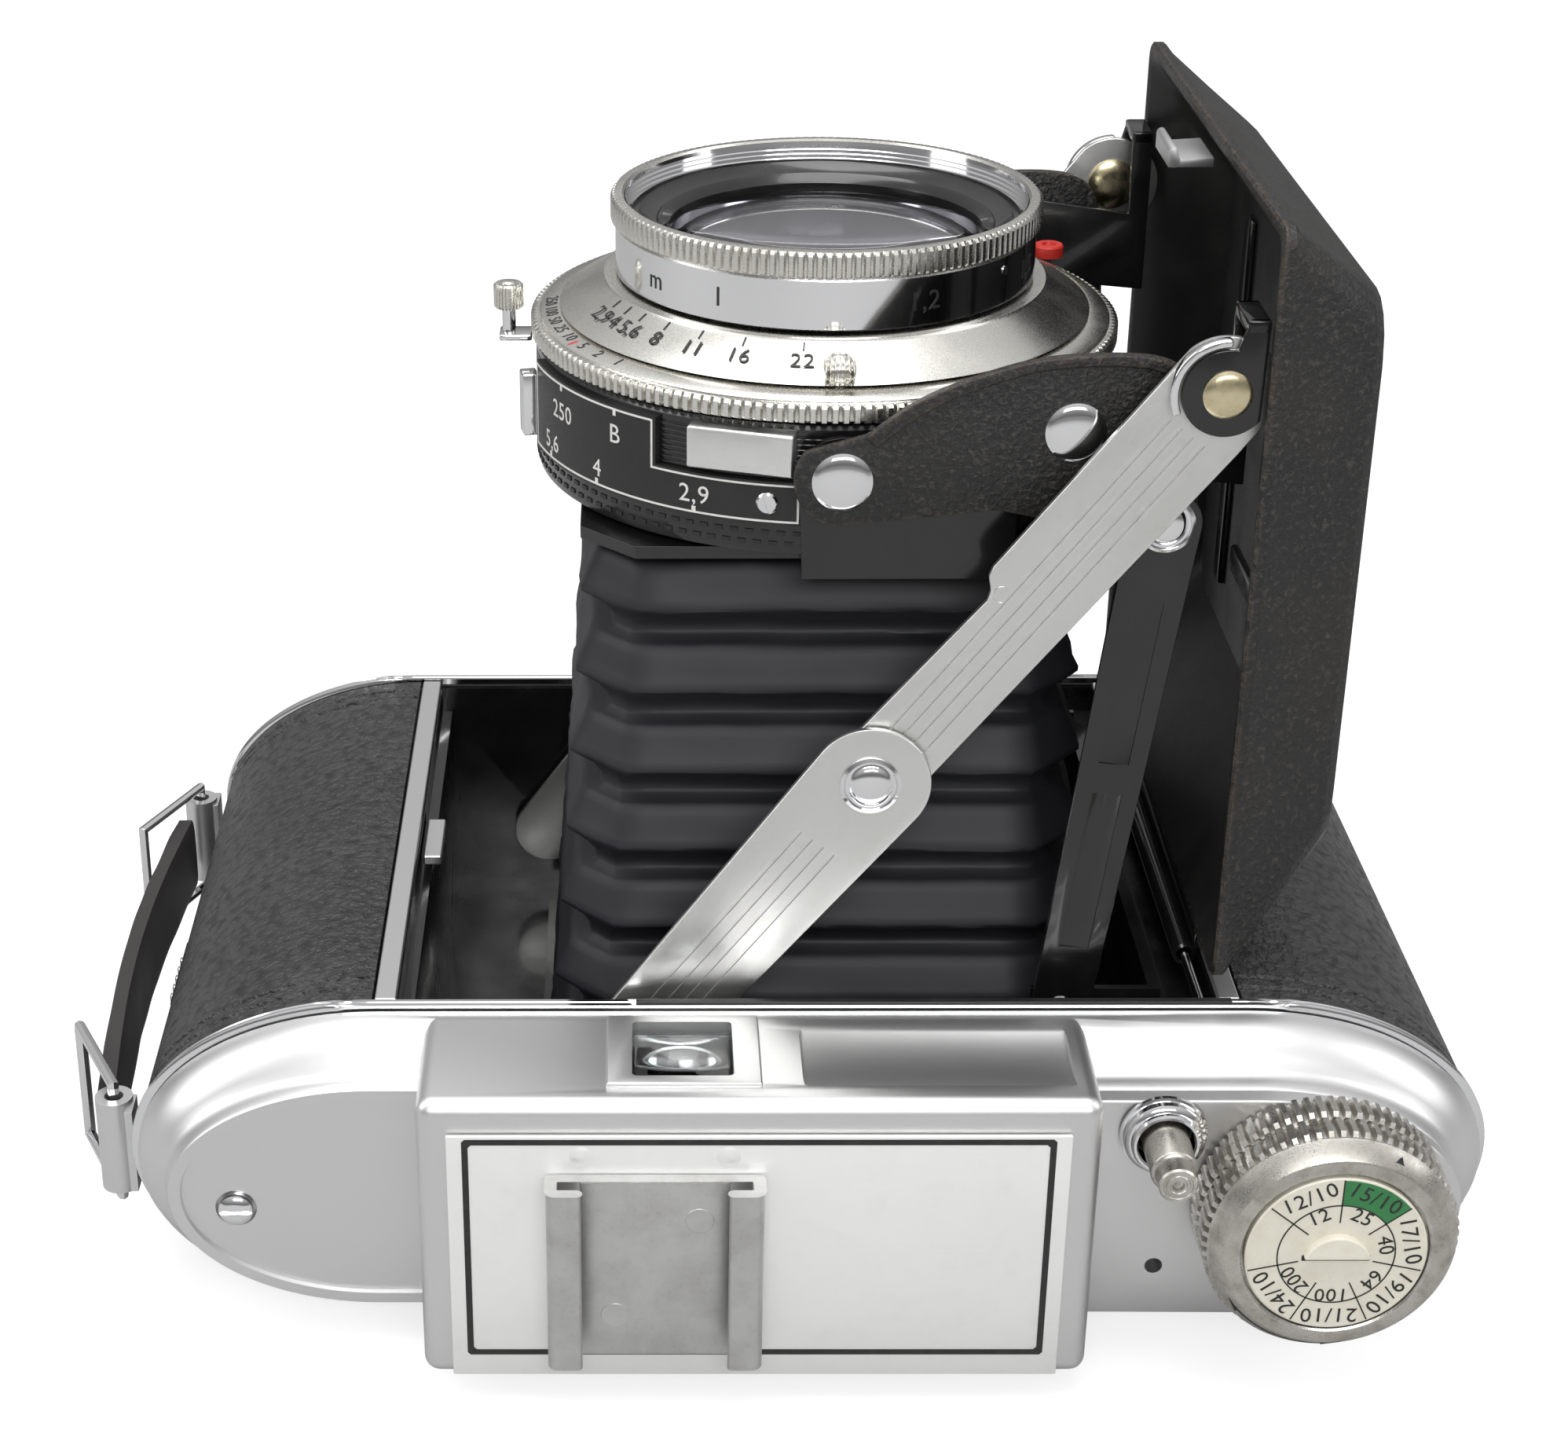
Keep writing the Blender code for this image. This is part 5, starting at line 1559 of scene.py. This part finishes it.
@dataclass
class Bed:
    """The folding bed with its lining, hinge, hook, brackets and the catch in the body.

    Attributes:
        shop: where the pieces are made.
        hinge: the hinge's axis as (x, z).
        rim: the x of the rim.
        floor: the x of the outer floor.
        half: half the bed's width.
        ends: the rim's lowest and highest z.
    """

    shop: Workshop
    hinge: Flat = (37.6, 34.1)
    rim: float = 38.5
    floor: float = 49.9
    half: float = 38.0
    ends: Flat = (36.6, 114.5)

    def make(self) -> None:
        """Makes every piece of the bed."""
        low, high = self.ends
        loops = [
            bed_loop(48.5, 50.6, 104.5, 32.6, 5.0),
            bed_loop(44.0, 45.0, 108.2, 34.6, 3.6),
            bed_loop(self.rim + 0.2, low + 1.3, high - 1.3, self.half - 1.3),
            bed_loop(self.rim, low + 1.0, high - 1.0, self.half - 1.0),
            bed_loop(self.rim, low + 0.25, high - 0.25, self.half - 0.25),
            bed_loop(self.rim + 0.25, low, high, self.half),
            bed_loop(self.rim + 1.15, low, high, self.half),
            bed_loop(self.rim + 1.5, low + 0.25, high - 0.25, self.half - 0.25),
            bed_loop(self.rim + 2.1, low + 1.1, high - 1.0, self.half - 0.6, 2.4),
            bed_loop(self.rim + 6.0, low + 6.4, high - 4.2, self.half - 2.0, 3.2),
            bed_loop(self.floor - 1.2, low + 11.8, high - 7.5, self.half - 3.5, 4.5),
            bed_loop(self.floor - 0.35, low + 12.5, high - 8.2, self.half - 4.1, 5.0),
            bed_loop(self.floor, low + 13.6, high - 9.3, self.half - 5.2, 5.4),
        ]
        pan = crumpled(loft(loops), 16.0, 0.08, 8.0)
        self.shop.piece("bed_pan", pan, FINISH.crackle, "bed", ("folding_door",), 40.0)
        lining = [
            bed_loop(48.3, 50.9, 104.2, 32.3, 5.0),
            bed_loop(43.9, 45.2, 108.0, 34.4, 3.6),
            bed_loop(self.rim + 0.25, low + 1.45, high - 1.45, self.half - 1.45),
            bed_loop(self.rim + 0.12, low + 1.2, high - 1.2, self.half - 1.2),
            bed_loop(43.95, 45.1, 108.1, 34.5, 3.6),
            bed_loop(48.4, 50.8, 104.3, 32.4, 5.0),
        ]
        self.shop.piece("bed_lining", loft(lining), FINISH.dull_black, "bed")
        ribs = []
        for y in (-20.0, 0.0, 20.0):
            ribs.append(box((47.5, y - 1.6, 56.0), (48.6, y + 1.6, 99.0), 0.5, 4))
        ribs.append(box((47.6, -14.0, 60.0), (48.6, 14.0, 63.0), 0.45, 4))
        self.shop.piece("bed_ribs", merged(ribs), FINISH.enamel, "bed")
        self.make_hinge()
        self.make_brackets()
        self.shop.refined("door_catch", FINISH.satin_chrome, "catch", 0.2, 3)

    def make_hinge(self) -> None:
        """The hinge tube with its web and pin, and the bent hook at the bed's tip."""
        x, z = self.hinge
        tube = turned([(0.8, -28.0), (1.2, -28.0), (1.2, 28.0), (0.8, 28.0)], self.hinge, Axis.Y, 48)
        web = box((self.rim, -28.0, z + 0.6), (self.rim + 0.8, 28.0, 37.4), 0.15, 2)
        self.shop.piece("bed_hinge_tube", merged([tube, web]), FINISH.enamel, "bed")
        pin = turned([(0, -37.6), (0.5, -37.6), (0.5, 37.6), (0, 37.6)], self.hinge, Axis.Y, 32)
        self.shop.piece("bed_hinge_pin", pin, FINISH.bright_chrome, replaces=("door_hinge_pin",))
        outline = [
            (33.9, 111.0), (33.9, 112.6), *arc((34.4, 112.5), 0.5, 170, 60, 6),
            *arc((35.2, 112.0), 0.3, 200, 270, 4), (38.4, 111.9), (38.4, 111.0),
            *arc((34.9, 110.2), 0.8, 80, 110, 4),
        ]
        hook = rounded(prism(outline, -4.0, 4.0), 0.12, 2, 50.0)
        self.shop.piece("bed_hook", hook, FINISH.satin_chrome, "bed", ("door_hook",))

    def make_brackets(self) -> None:
        """The linkage's brackets on both sides of the bed."""
        p = PIVOTS
        for side, name in ((-1, "near"), (1, "far")):
            low, high = layered(p.ear_layer, side)
            outline = arc(p.ear, 4.2, 80, 321, 40) + [(38.4, 105.6), (36.4, 105.6)]
            ear = rounded(prism(outline, low, high), 0.16, 3)
            low, high = layered(p.lug_layer, side)
            neck = [(38.4, 87.5), (38.4, 105.6), (36.2, 105.6), (36.2, 96.4)]
            outline = arc(p.arm_door, 5.2, 80, 300, 32) + neck
            lug = rounded(prism(outline, low, high), 0.16, 2)
            low, high = layered((p.lug_layer[0], p.ear_layer[1]), side)
            web = box((36.2, low, 104.3), (38.4, high, 105.6), 0.2, 2)
            self.shop.piece(
                f"bed_bracket_{name}", merged([ear, lug, web]), FINISH.enamel, "bed",
                (f"door_bracket_{name}",), 28.0
            )
            inner = [(0, 34.2), (1.2, 34.22), (2.2, 34.35), (2.7, 34.6), (2.8, 34.9), (2.8, 35.1), (0, 35.1)]
            back = turned([(r, side * y) for r, y in inner], p.ear, Axis.Y, 64)
            heads = merged([rivet(p.ear, 2.3, p.ear_layer, side), back])
            self.shop.piece(f"bed_bracket_rivet_{name}", heads, FINISH.brass, "bed")


@dataclass
class Bellows:
    """The folded leather bellows between the film gate and the lens board.

    Attributes:
        shop: where the pieces are made.
        low: where it starts.
        high: where it ends.
        folds: how many folds it has.
        depth: how deep a fold is.
    """

    shop: Workshop
    low: float = 8.0
    high: float = 77.6
    folds: int = 8
    depth: float = 3.4

    def loop(self, height: float, drawn: float, corner: float) -> list[Point]:
        """One loop round the bellows: straight sides and flat corners, with points to spare for creases.

        Args:
            height: its z.
            drawn: how far it is drawn in.
            corner: how much of each corner is cut off.

        Returns:
            The loop's points.
        """
        share = (height - self.low) / (self.high - self.low)
        half_x, half_y = 29.6 - 5.0 * share - drawn, 30.0 - 4.4 * share - drawn
        turns = [
            (half_x - corner, -half_y), (half_x, corner - half_y), (half_x, half_y - corner),
            (half_x - corner, half_y), (corner - half_x, half_y), (-half_x, half_y - corner),
            (-half_x, corner - half_y), (corner - half_x, -half_y),
        ]
        points = []
        for index, (x, y) in enumerate(turns):
            after = turns[(index + 1) % 8]
            steps = 4 if index % 2 == 0 else 14
            for step in range(steps):
                share = step / steps
                points.append((x + (after[0] - x) * share, y + (after[1] - y) * share, height))
        return points

    def make(self) -> None:
        """Makes the bellows, sharp at its ridges and narrow in its valleys."""
        pitch = (self.high - self.low) / self.folds
        profile = (
            (0.0, 1.0), (0.08, 0.97), (0.2, 0.72), (0.3, 0.3), (0.37, 0.02), (0.42, 0.0), (0.5, 0.1),
            (0.62, 0.2), (0.76, 0.34), (0.86, 0.44), (0.9, 0.6), (0.95, 0.95),
        )
        levels = [
            (self.low + pitch * (fold + share), cut) for fold in range(self.folds) for share, cut in profile
        ]
        levels.append((self.high, 1.0))
        outer = [self.loop(z, self.depth * cut, 5.6 - 3.4 * cut) for z, cut in levels]
        inner = [self.loop(z, self.depth * cut + 0.8, 5.6 - 3.4 * cut) for z, cut in levels]
        skin = crumpled(loft(outer + inner[::-1], closed=True), 4.0, 0.3, 5.0)
        made = self.shop.piece("bellows_skin", skin, FINISH.bellows, replaces=("bellows",), sharp=50.0)
        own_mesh(made)


@dataclass
class Shutter:
    """The lens board with the shutter, its rings and scales, and the lens.

    Attributes:
        shop: where the pieces are made.
        barrel: the barrel's radius.
        bottom: where the barrel starts; not used.
        top: where the barrel ends.
        ring_top: the top of the knurled speed ring.
        cone_top: the top of the aperture cone.
        focus_top: the top of the focusing ring.
    """

    shop: Workshop
    barrel: float = 29.8
    bottom: float = 79.5
    top: float = 93.0
    ring_top: float = 95.0
    cone_top: float = 99.3
    focus_top: float = 107.6
    apertures: tuple[tuple[str, float], ...] = (
        ("2,9", 204.0), ("4", 210.0), ("5,6", 216.5), ("8", 225.5), ("11", 236.0), ("16", 247.5),
        ("22", 262.0),
    )
    speeds: tuple[tuple[str, float], ...] = (
        ("250", 178.0), ("100", 185.0), ("50", 191.5), ("25", 197.0), ("10", 202.5), ("5", 209.0),
        ("2", 215.0), ("1", 221.5),
    )

    def make(self) -> None:
        """Makes every piece of the shutter."""
        self.shop.refined("lens_board", FINISH.enamel, "standard", 0.2, 3)
        self.make_barrel()
        self.make_plate()
        self.make_speed_ring()
        self.make_cone()
        self.make_focus()
        self.make_lens()
        self.make_levers()

    def make_barrel(self) -> None:
        """The black barrel with turned grooves and rows of small dashes, and the block on its side."""
        r = self.barrel
        profile = [(17.5, 79.5), (r - 0.8, 79.5), (r - 0.15, 79.8), (r, 80.3), (r, 86.9)]
        for groove in range(9):
            z = 87.2 + 0.55 * groove
            profile += [(r, z), (r - 0.14, z + 0.12), (r - 0.14, z + 0.25), (r, z + 0.37)]
        profile += [(r, 92.6), (r - 0.35, 93.0), (17.5, 93.0)]
        self.shop.piece(
            "barrel", turned(profile, segments=256), FINISH.enamel, "standard", ("shutter_housing",)
        )
        dashes = []
        for row in range(3):
            z = 80.6 + 1.1 * row
            for count in range(120):
                turn = 3.0 * count + 1.5 * (row % 2)
                dash = box((r - 0.1, -0.42, z), (r + 0.09, 0.42, z + 0.42))
                dashes.append(moved(dash, Matrix.Rotation(math.radians(turn), 4, "Z")))
        self.shop.piece("barrel_dashes", merged(dashes), FINISH.dull_black, "standard")
        block = box((-5.3, -31.0, 88.2), (5.3, -29.3, 92.4), 0.25, 3)
        moved(block, Matrix.Rotation(math.radians(-18.0), 4, "Z"))
        self.shop.piece("barrel_block", block, FINISH.brushed_block, "standard", ("contact_block",))
        self.shop.refined("rear_lens_barrel", FINISH.dull_black, "standard", 0.15)
        self.shop.refined("shutter_blades", FINISH.dull_black, "standard", 0.05)
        dot = turned(
            [(0, 94.6), (1.6, 94.6), (1.6, 95.7), (1.45, 95.9), (0.8, 95.9), (0.7, 95.6), (0, 95.6)],
            (26.0, 20.4), segments=48
        )
        self.shop.piece("barrel_dot", dot, FINISH.red_ink, "standard")

    def make_plate(self) -> None:
        """The stepped scale plate with its white outline, ticks and figures."""
        low = curved_box((194.0, 263.6), (83.0, 87.4), (29.7, 30.45), 1.0)
        high = curved_box((194.0, 234.8), (87.3, 92.2), (29.7, 30.45), 1.0)
        self.shop.piece(
            "scale", merged([low, high]), FINISH.dull_black, "standard", ("scale_plate",)
        )
        radii = (30.4, 30.5)
        lines = [
            curved_box((194.6, 262.9), (83.25, 83.45), radii, 1.0),
            curved_box((194.6, 234.2), (91.75, 91.95), radii, 1.0),
            curved_box((233.8, 262.9), (86.95, 87.15), radii, 1.0),
            curved_box((194.4, 194.8), (83.25, 91.95), radii, 1.0),
            curved_box((233.8, 234.2), (86.95, 91.95), radii, 1.0),
            curved_box((262.5, 262.9), (83.25, 87.15), radii, 1.0),
        ]
        for angle in (203.0, 220.0, 243.0):
            lines.append(curved_box((angle - 0.4, angle + 0.4), (83.4, 83.95), radii))
        for angle in (208.0, 225.0):
            lines.append(curved_box((angle - 0.35, angle + 0.35), (91.2, 91.8), radii))
        for text, angle, z, size in (
            ("250", 208.1, 88.9, 1.9), ("B", 225.0, 89.2, 2.0), ("5,6", 203.4, 85.0, 1.9),
            ("4", 220.1, 85.0, 1.9), ("2,9", 243.0, 85.1, 1.9),
        ):
            lines.append(wrapped(numeral(text, size), angle, 30.46, z))
        head = [(0, 0), (1.1, 0), (1.1, 0.25), (0.9, 0.45), (0, 0.5)]
        screw = combine(turned(head, segments=48), box((-2, -0.17, 0.3), (2, 0.17, 1)), Join.CUT)
        stand = Matrix.Rotation(math.radians(257.1), 4, "Z") @ Matrix.Translation((30.35, 0, 85.2))
        moved(screw, stand @ Matrix.Rotation(math.pi / 2, 4, "Y") @ Matrix.Rotation(math.radians(20), 4, "Z"))
        self.shop.piece("scale_screw", screw, FINISH.bright_chrome, "standard")
        self.shop.piece("scale_lines", merged(lines), FINISH.white_ink, "standard")

    def make_speed_ring(self) -> None:
        """The knurled speed ring with its figures."""
        low, high = self.top + 0.3, self.ring_top
        levels = [
            (26.2, low, 0.0), (29.9, low, 0.2), (30.3, low + 0.2, 0.5), (30.3, high - 0.1, 0.5),
            (29.95, high + 0.15, 0.25), (29.5, high + 0.2, 0.0), (26.2, high, 0.0),
        ]
        self.shop.piece(
            "speed_knurls", knurled(levels, 180), FINISH.turned_silver, "speed", ("speed_ring",), 24.0
        )
        collar = [
            (26.2, high), (29.4, high), (29.4, high + 0.34), (29.2, high + 0.5), (27.2, high + 0.9),
            (26.2, high + 0.9)
        ]
        self.shop.piece("speed_collar", turned(collar, segments=200), FINISH.turned_silver, "speed")
        lean = math.degrees(math.atan2(2.0, 0.4))
        figures = [
            wrapped(numeral(text, 1.35), angle, 28.25, high + 0.71, lean) for text, angle in self.speeds
        ]
        self.shop.piece("speed_figures", merged(figures), FINISH.black_ink, "speed")
        mark = wrapped(box((-0.1, -0.55, -0.02), (0.1, 0.55, 0.03)), 206.0, 28.6, high + 0.64, lean)
        self.shop.piece("speed_mark", mark, FINISH.red_ink, "speed")

    def make_cone(self) -> None:
        """The turned aperture cone with its figures, ticks and grip."""
        low = self.ring_top + 0.3
        profile = [
            (18.0, low), (26.0, low), (26.0, low + 0.7), (27.0, low + 0.7), (27.3, low + 0.9),
            (27.1, low + 1.05), (22.9, self.cone_top - 0.35), (22.7, self.cone_top - 0.05),
            (22.4, self.cone_top), (18.0, self.cone_top),
        ]
        self.shop.piece(
            "aperture_cone", turned(profile, segments=256), FINISH.turned_silver, "aperture",
            ("aperture_ring",)
        )
        lean = math.degrees(math.atan2(27.1 - 22.9, self.cone_top - 0.35 - low - 1.05))
        grip = []
        for count in range(7):
            place = -1.35 + 0.45 * count
            rib = bmesh.new()
            bmesh.ops.create_uvsphere(rib, u_segments=24, v_segments=16, radius=1.0)
            height = 1.75 * math.sqrt(max(0.1, 1.0 - (place / 1.75) ** 2))
            moved(rib, Matrix.Translation((place, -26.0, 97.4)) @ Matrix.Diagonal((0.27, 1.9, height, 1.0)))
            grip.append(rib)
        core = bmesh.new()
        bmesh.ops.create_uvsphere(core, u_segments=32, v_segments=20, radius=1.0)
        grip.append(
            moved(core, Matrix.Translation((0.0, -26.0, 97.4)) @ Matrix.Diagonal((1.6, 1.75, 1.7, 1.0)))
        )
        self.shop.piece("aperture_grip", merged(grip), FINISH.turned_silver, "aperture")
        figures = []
        for text, angle in self.apertures:
            figures.append(wrapped(numeral(text, 1.75), angle, 25.0, 97.82, lean))
            figures.append(wrapped(box((-0.08, -0.55, -0.02), (0.08, 0.55, 0.03)), angle, 23.35, 98.72, lean))
        self.shop.piece("aperture_figures", merged(figures), FINISH.black_ink, "aperture")

    def make_focus(self) -> None:
        """The polished focusing ring with its knurled front edge, figures and threaded wall."""
        low, top = self.cone_top + 0.3, self.focus_top
        profile = [
            (17.0, low), (21.3, low), (21.5, low + 0.2), (21.5, 104.6), (21.2, 104.8), (21.2, 105.2),
            (20.5, 107.4)
        ]
        for turn in range(8):
            profile += [(20.4, 107.0 - 0.5 * turn), (20.65, 106.75 - 0.5 * turn)]
        profile += [(20.4, 102.8), (17.0, 102.8)]
        self.shop.piece(
            "focus_band", turned(profile, segments=256), FINISH.bright_chrome, "focus", ("focus_ring",)
        )
        levels = [
            (20.9, 105.0, 0.0), (21.75, 105.0, 0.1), (22.0, 105.2, 0.3), (22.0, 107.2, 0.3),
            (21.7, top - 0.05, 0.1), (21.4, top, 0.0), (20.8, top, 0.0), (20.6, top - 0.3, 0.0),
        ]
        self.shop.piece("focus_knurls", knurled(levels, 150), FINISH.turned_silver, "focus", sharp=24.0)
        figures = []
        for text, angle in (
            ("m", 215.8), ("1", 237.9), ("1,2", 293.4), ("1,5", 336.0), ("2", 12.0), ("3", 48.0),
            ("5", 84.0), ("10", 120.0)
        ):
            figures.append(wrapped(numeral(text, 2.0), angle, 21.52, 102.1))
        dot = turned([(0, 0), (0.42, 0), (0.42, 0.2), (0, 0.34)], segments=32)
        moved(
            dot,
            Matrix.Rotation(
                math.radians(321.7), 4, "Z"
            ) @ Matrix.Translation((21.4, 0, 103.3)) @ Matrix.Rotation(math.pi / 2, 4, "Y")
        )
        self.shop.piece("focus_dot", dot, FINISH.bright_chrome, "focus")
        self.shop.piece("focus_figures", merged(figures), FINISH.black_ink, "focus")

    def make_lens(self) -> None:
        """The lens: its black retaining ring, the front glass and the glass behind it."""
        ring = [
            (16.2, 103.1), (20.1, 103.1), (20.1, 105.3), (19.8, 105.6), (19.1, 105.6), (18.9, 105.35),
            (17.3, 104.75), (17.1, 104.85), (16.7, 104.55), (16.2, 103.95),
        ]
        self.shop.piece("lens_ring", turned(ring, segments=192), FINISH.enamel, "focus", ("retaining_ring",))
        dome = [(15.7, 100.2), (15.75, 101.9)]
        rises = [math.radians(6 * s) for s in range(1, 15)]
        dome += [(15.7 * math.cos(a), 101.9 + 2.7 * math.sin(a)) for a in rises]
        front = turned([(0, 101.2), (8.0, 100.8), (15.7, 100.2), *dome[1:], (0, 104.6)], segments=160)
        self.shop.piece("front_glass", front, FINISH.lens_glass, "focus", ("front_lens",))
        cell = [
            (14.6, 92.0), (16.9, 92.0), (16.9, 99.9), (15.8, 99.9), (15.0, 98.8), (14.8, 96.0), (14.4, 95.4)
        ]
        self.shop.piece("lens_cell", turned(cell, segments=128), FINISH.enamel, "standard")
        dome = [
            (13.8 * math.cos(a), 92.4 + 1.8 * math.sin(a)) for a in (math.radians(7.5 * s) for s in range(12))
        ]
        inner = turned([(0, 91.6), (13.8, 91.6), *dome, (0, 94.2)], segments=128)
        self.shop.piece("middle_glass", inner, FINISH.lens_glass, "standard")
        rear = [
            (10.8, 72.4), (11.4, 73.4), (8.0, 74.2), (4.0, 74.7), (0, 74.9), (0, 71.6), (5.0, 71.8),
            (9.0, 72.1)
        ]
        self.shop.piece("rear_glass", turned(rear, segments=96), FINISH.lens_glass, "standard")

    def make_levers(self) -> None:
        """The cocking lever with its knurled head, and the thin setting lever."""
        blade = box((-33.6, -1.6, 92.2), (-30.2, 1.6, 92.85), 0.2, 3)
        post = turned([(0, 92.6), (0.7, 92.6), (0.7, 95.6), (0, 95.6)], (-32.6, 0.0), segments=32)
        self.shop.piece(
            "cocking_blade", merged([blade, post]), FINISH.bright_chrome, "cocking", ("cocking_lever",)
        )
        levels = [
            (0.7, 95.4, 0.0), (1.35, 95.4, 0.05), (1.55, 95.6, 0.16), (1.55, 97.8, 0.16),
            (1.35, 98.0, 0.05), (0.7, 98.0, 0.0),
        ]
        head = knurled(levels, 26, (-32.6, 0.0))
        cap = turned(
            [(0, 95.5), (0.8, 95.5), (0.8, 98.05), (0.5, 98.2), (0, 98.2)], (-32.6, 0.0), segments=32
        )
        self.shop.piece("cocking_head", merged([head, cap]), FINISH.turned_silver, "cocking", sharp=24.0)
        lever = box((-31.9, -1.1, 84.0), (-30.2, 1.1, 90.6), 0.2, 3)
        moved(lever, Matrix.Rotation(math.radians(12.0), 4, "Z"))
        self.shop.piece("setting_blade", lever, FINISH.bright_chrome, "setting", ("setting_lever",))


@dataclass
class Back:
    """The hinged back with its window, shutter, pressure plate and latch."""

    shop: Workshop
    window: Flat = (8.0, 10.0)

    def make(self) -> None:
        """Makes every piece of the back."""
        self.shop.refined("back_cover", FINISH.covering, "back", 0.2)
        self.shop.refined("back_hinge_pin", FINISH.bright_chrome, "body", 0.05)
        self.shop.refined("pressure_plate", FINISH.dull_black, "back", 0.15)
        self.shop.refined("window_shutter", FINISH.satin_chrome, "window_slide", 0.08)
        self.shop.refined("back_latch", FINISH.bright_chrome, "latch", 0.12)
        disc = [(0, 0.9), (4.9, 0.9), (4.9, 1.9), (0, 1.9)]
        self.shop.piece(
            "window_disc", turned(disc, self.window, segments=96), FINISH.red_glass, "back", ("red_window",)
        )


@dataclass
class Studio:
    """The pale floor, the soft light and the camera that looks at it all.

    Attributes:
        eye: where the view is taken from, in metres.
        lens: focal length in millimetres on a 36 mm sensor.
        shift: sideways shift of the picture.
        turns: rotations about Z, X and Y in degrees that aim the camera, which looks along +Y before them.
    """

    eye: Point = (-0.01928, -0.29025, 0.18811)
    lens: float = 66.70
    shift: float = 0.1069
    turns: Point = (0.47, -25.93, 0.3)
    lights: list[tuple[str, Point, Point, Flat, float]] = field(
        default_factory=lambda: [
            ("overhead", (-0.04, -0.02, 0.75), (0.0, 0.0, 0.05), (0.62, 0.42), 3.2),
            ("left_panel", (-0.60, -0.10, 0.42), (0.0, 0.0, 0.05), (0.30, 0.55), 1.6),
            ("right_panel", (0.62, -0.12, 0.40), (0.0, 0.0, 0.05), (0.24, 0.45), 1.1),
            ("front_panel", (0.05, -0.70, 0.46), (0.0, 0.0, 0.05), (0.55, 0.16), 2.6),
        ]
    )

    def make(self) -> None:
        """Makes the floor, the lights, the world and the camera."""
        self.make_floor()
        self.make_lights()
        self.make_camera()

    def make_floor(self) -> None:
        """A wide plain floor under the camera's back."""
        shape = bmesh.new()
        bmesh.ops.create_grid(shape, x_segments=2, y_segments=2, size=20.0)
        data = bpy.data.meshes.new("floor")
        shape.to_mesh(data)
        shape.free()
        material = bpy.data.materials.new("floor")
        material.use_nodes = True
        shader = material.node_tree.nodes["Principled BSDF"]
        shader.inputs["Base Color"].default_value = (0.40, 0.40, 0.40, 1.0)
        shader.inputs["Roughness"].default_value = 0.8
        shader.inputs["Emission Color"].default_value = (1.0, 1.0, 1.0, 1.0)
        seen = material.node_tree.nodes.new("ShaderNodeLightPath").outputs["Is Camera Ray"]
        glow = Wiring(material.node_tree).math("MULTIPLY", seen, 0.72)
        material.node_tree.links.new(glow, shader.inputs["Emission Strength"])
        data.materials.append(material)
        floor = bpy.data.objects.new("floor", data)
        floor.location = (0.0, 0.0, -0.0005)
        bpy.context.scene.collection.objects.link(floor)

    def make_lights(self) -> None:
        """Large soft panels, and an even pale world."""
        world = bpy.data.worlds.new("studio")
        world.use_nodes = True
        wiring = Wiring(world.node_tree)
        ground = world.node_tree.nodes["Background"]
        place = wiring.add("ShaderNodeTexCoord").outputs["Generated"]
        height = wiring.add("ShaderNodeSeparateXYZ", {}, {0: place}).outputs[2]
        strength = wiring.ramp(height, 0.05, 0.85, (0.16, 0.75))
        world.node_tree.links.new(strength, ground.inputs[1])
        ground.inputs[0].default_value = (1.0, 1.0, 1.0, 1.0)
        bpy.context.scene.world = world
        for name, place, aim, size, power in self.lights:
            data = bpy.data.lights.new(name, "AREA")
            data.shape = "RECTANGLE"
            data.size, data.size_y = size
            data.energy = power
            light = bpy.data.objects.new(name, data)
            light.location = place
            light.rotation_euler = (Vector(aim) - Vector(place)).to_track_quat("-Z", "Y").to_euler()
            bpy.context.scene.collection.objects.link(light)

    def make_camera(self) -> None:
        """The camera, its focal length and its aim."""
        data = bpy.data.cameras.new("view")
        data.sensor_width = 36.0
        data.lens = self.lens
        data.shift_x = self.shift
        data.clip_start = 0.01
        camera = bpy.data.objects.new("view", data)
        about_z, about_x, about_y = (math.radians(turn) for turn in self.turns)
        aim = (
            Matrix.Rotation(about_z, 4, "Z")
            @ Matrix.Rotation(about_x, 4, "X")
            @ Matrix.Rotation(about_y, 4, "Y")
            @ Matrix.Rotation(math.pi / 2, 4, "X")
        )
        camera.matrix_world = Matrix.Translation(self.eye) @ aim
        bpy.context.scene.collection.objects.link(camera)
        bpy.context.scene.camera = camera
        bpy.context.scene.view_settings.view_transform = "Standard"


def main() -> None:
    """Builds every assembly of the camera, then the studio."""
    logging.basicConfig(level=logging.INFO, format="%(message)s")
    shop = Workshop()
    for assembly in (Body, TopHousing, Winding, Strap, Bed, Linkage, Bellows, Shutter, Back):
        assembly(shop).make()
    Studio().make()
    LOG.info("%d pieces", len(shop.made))


if __name__ == "__main__":
    main()
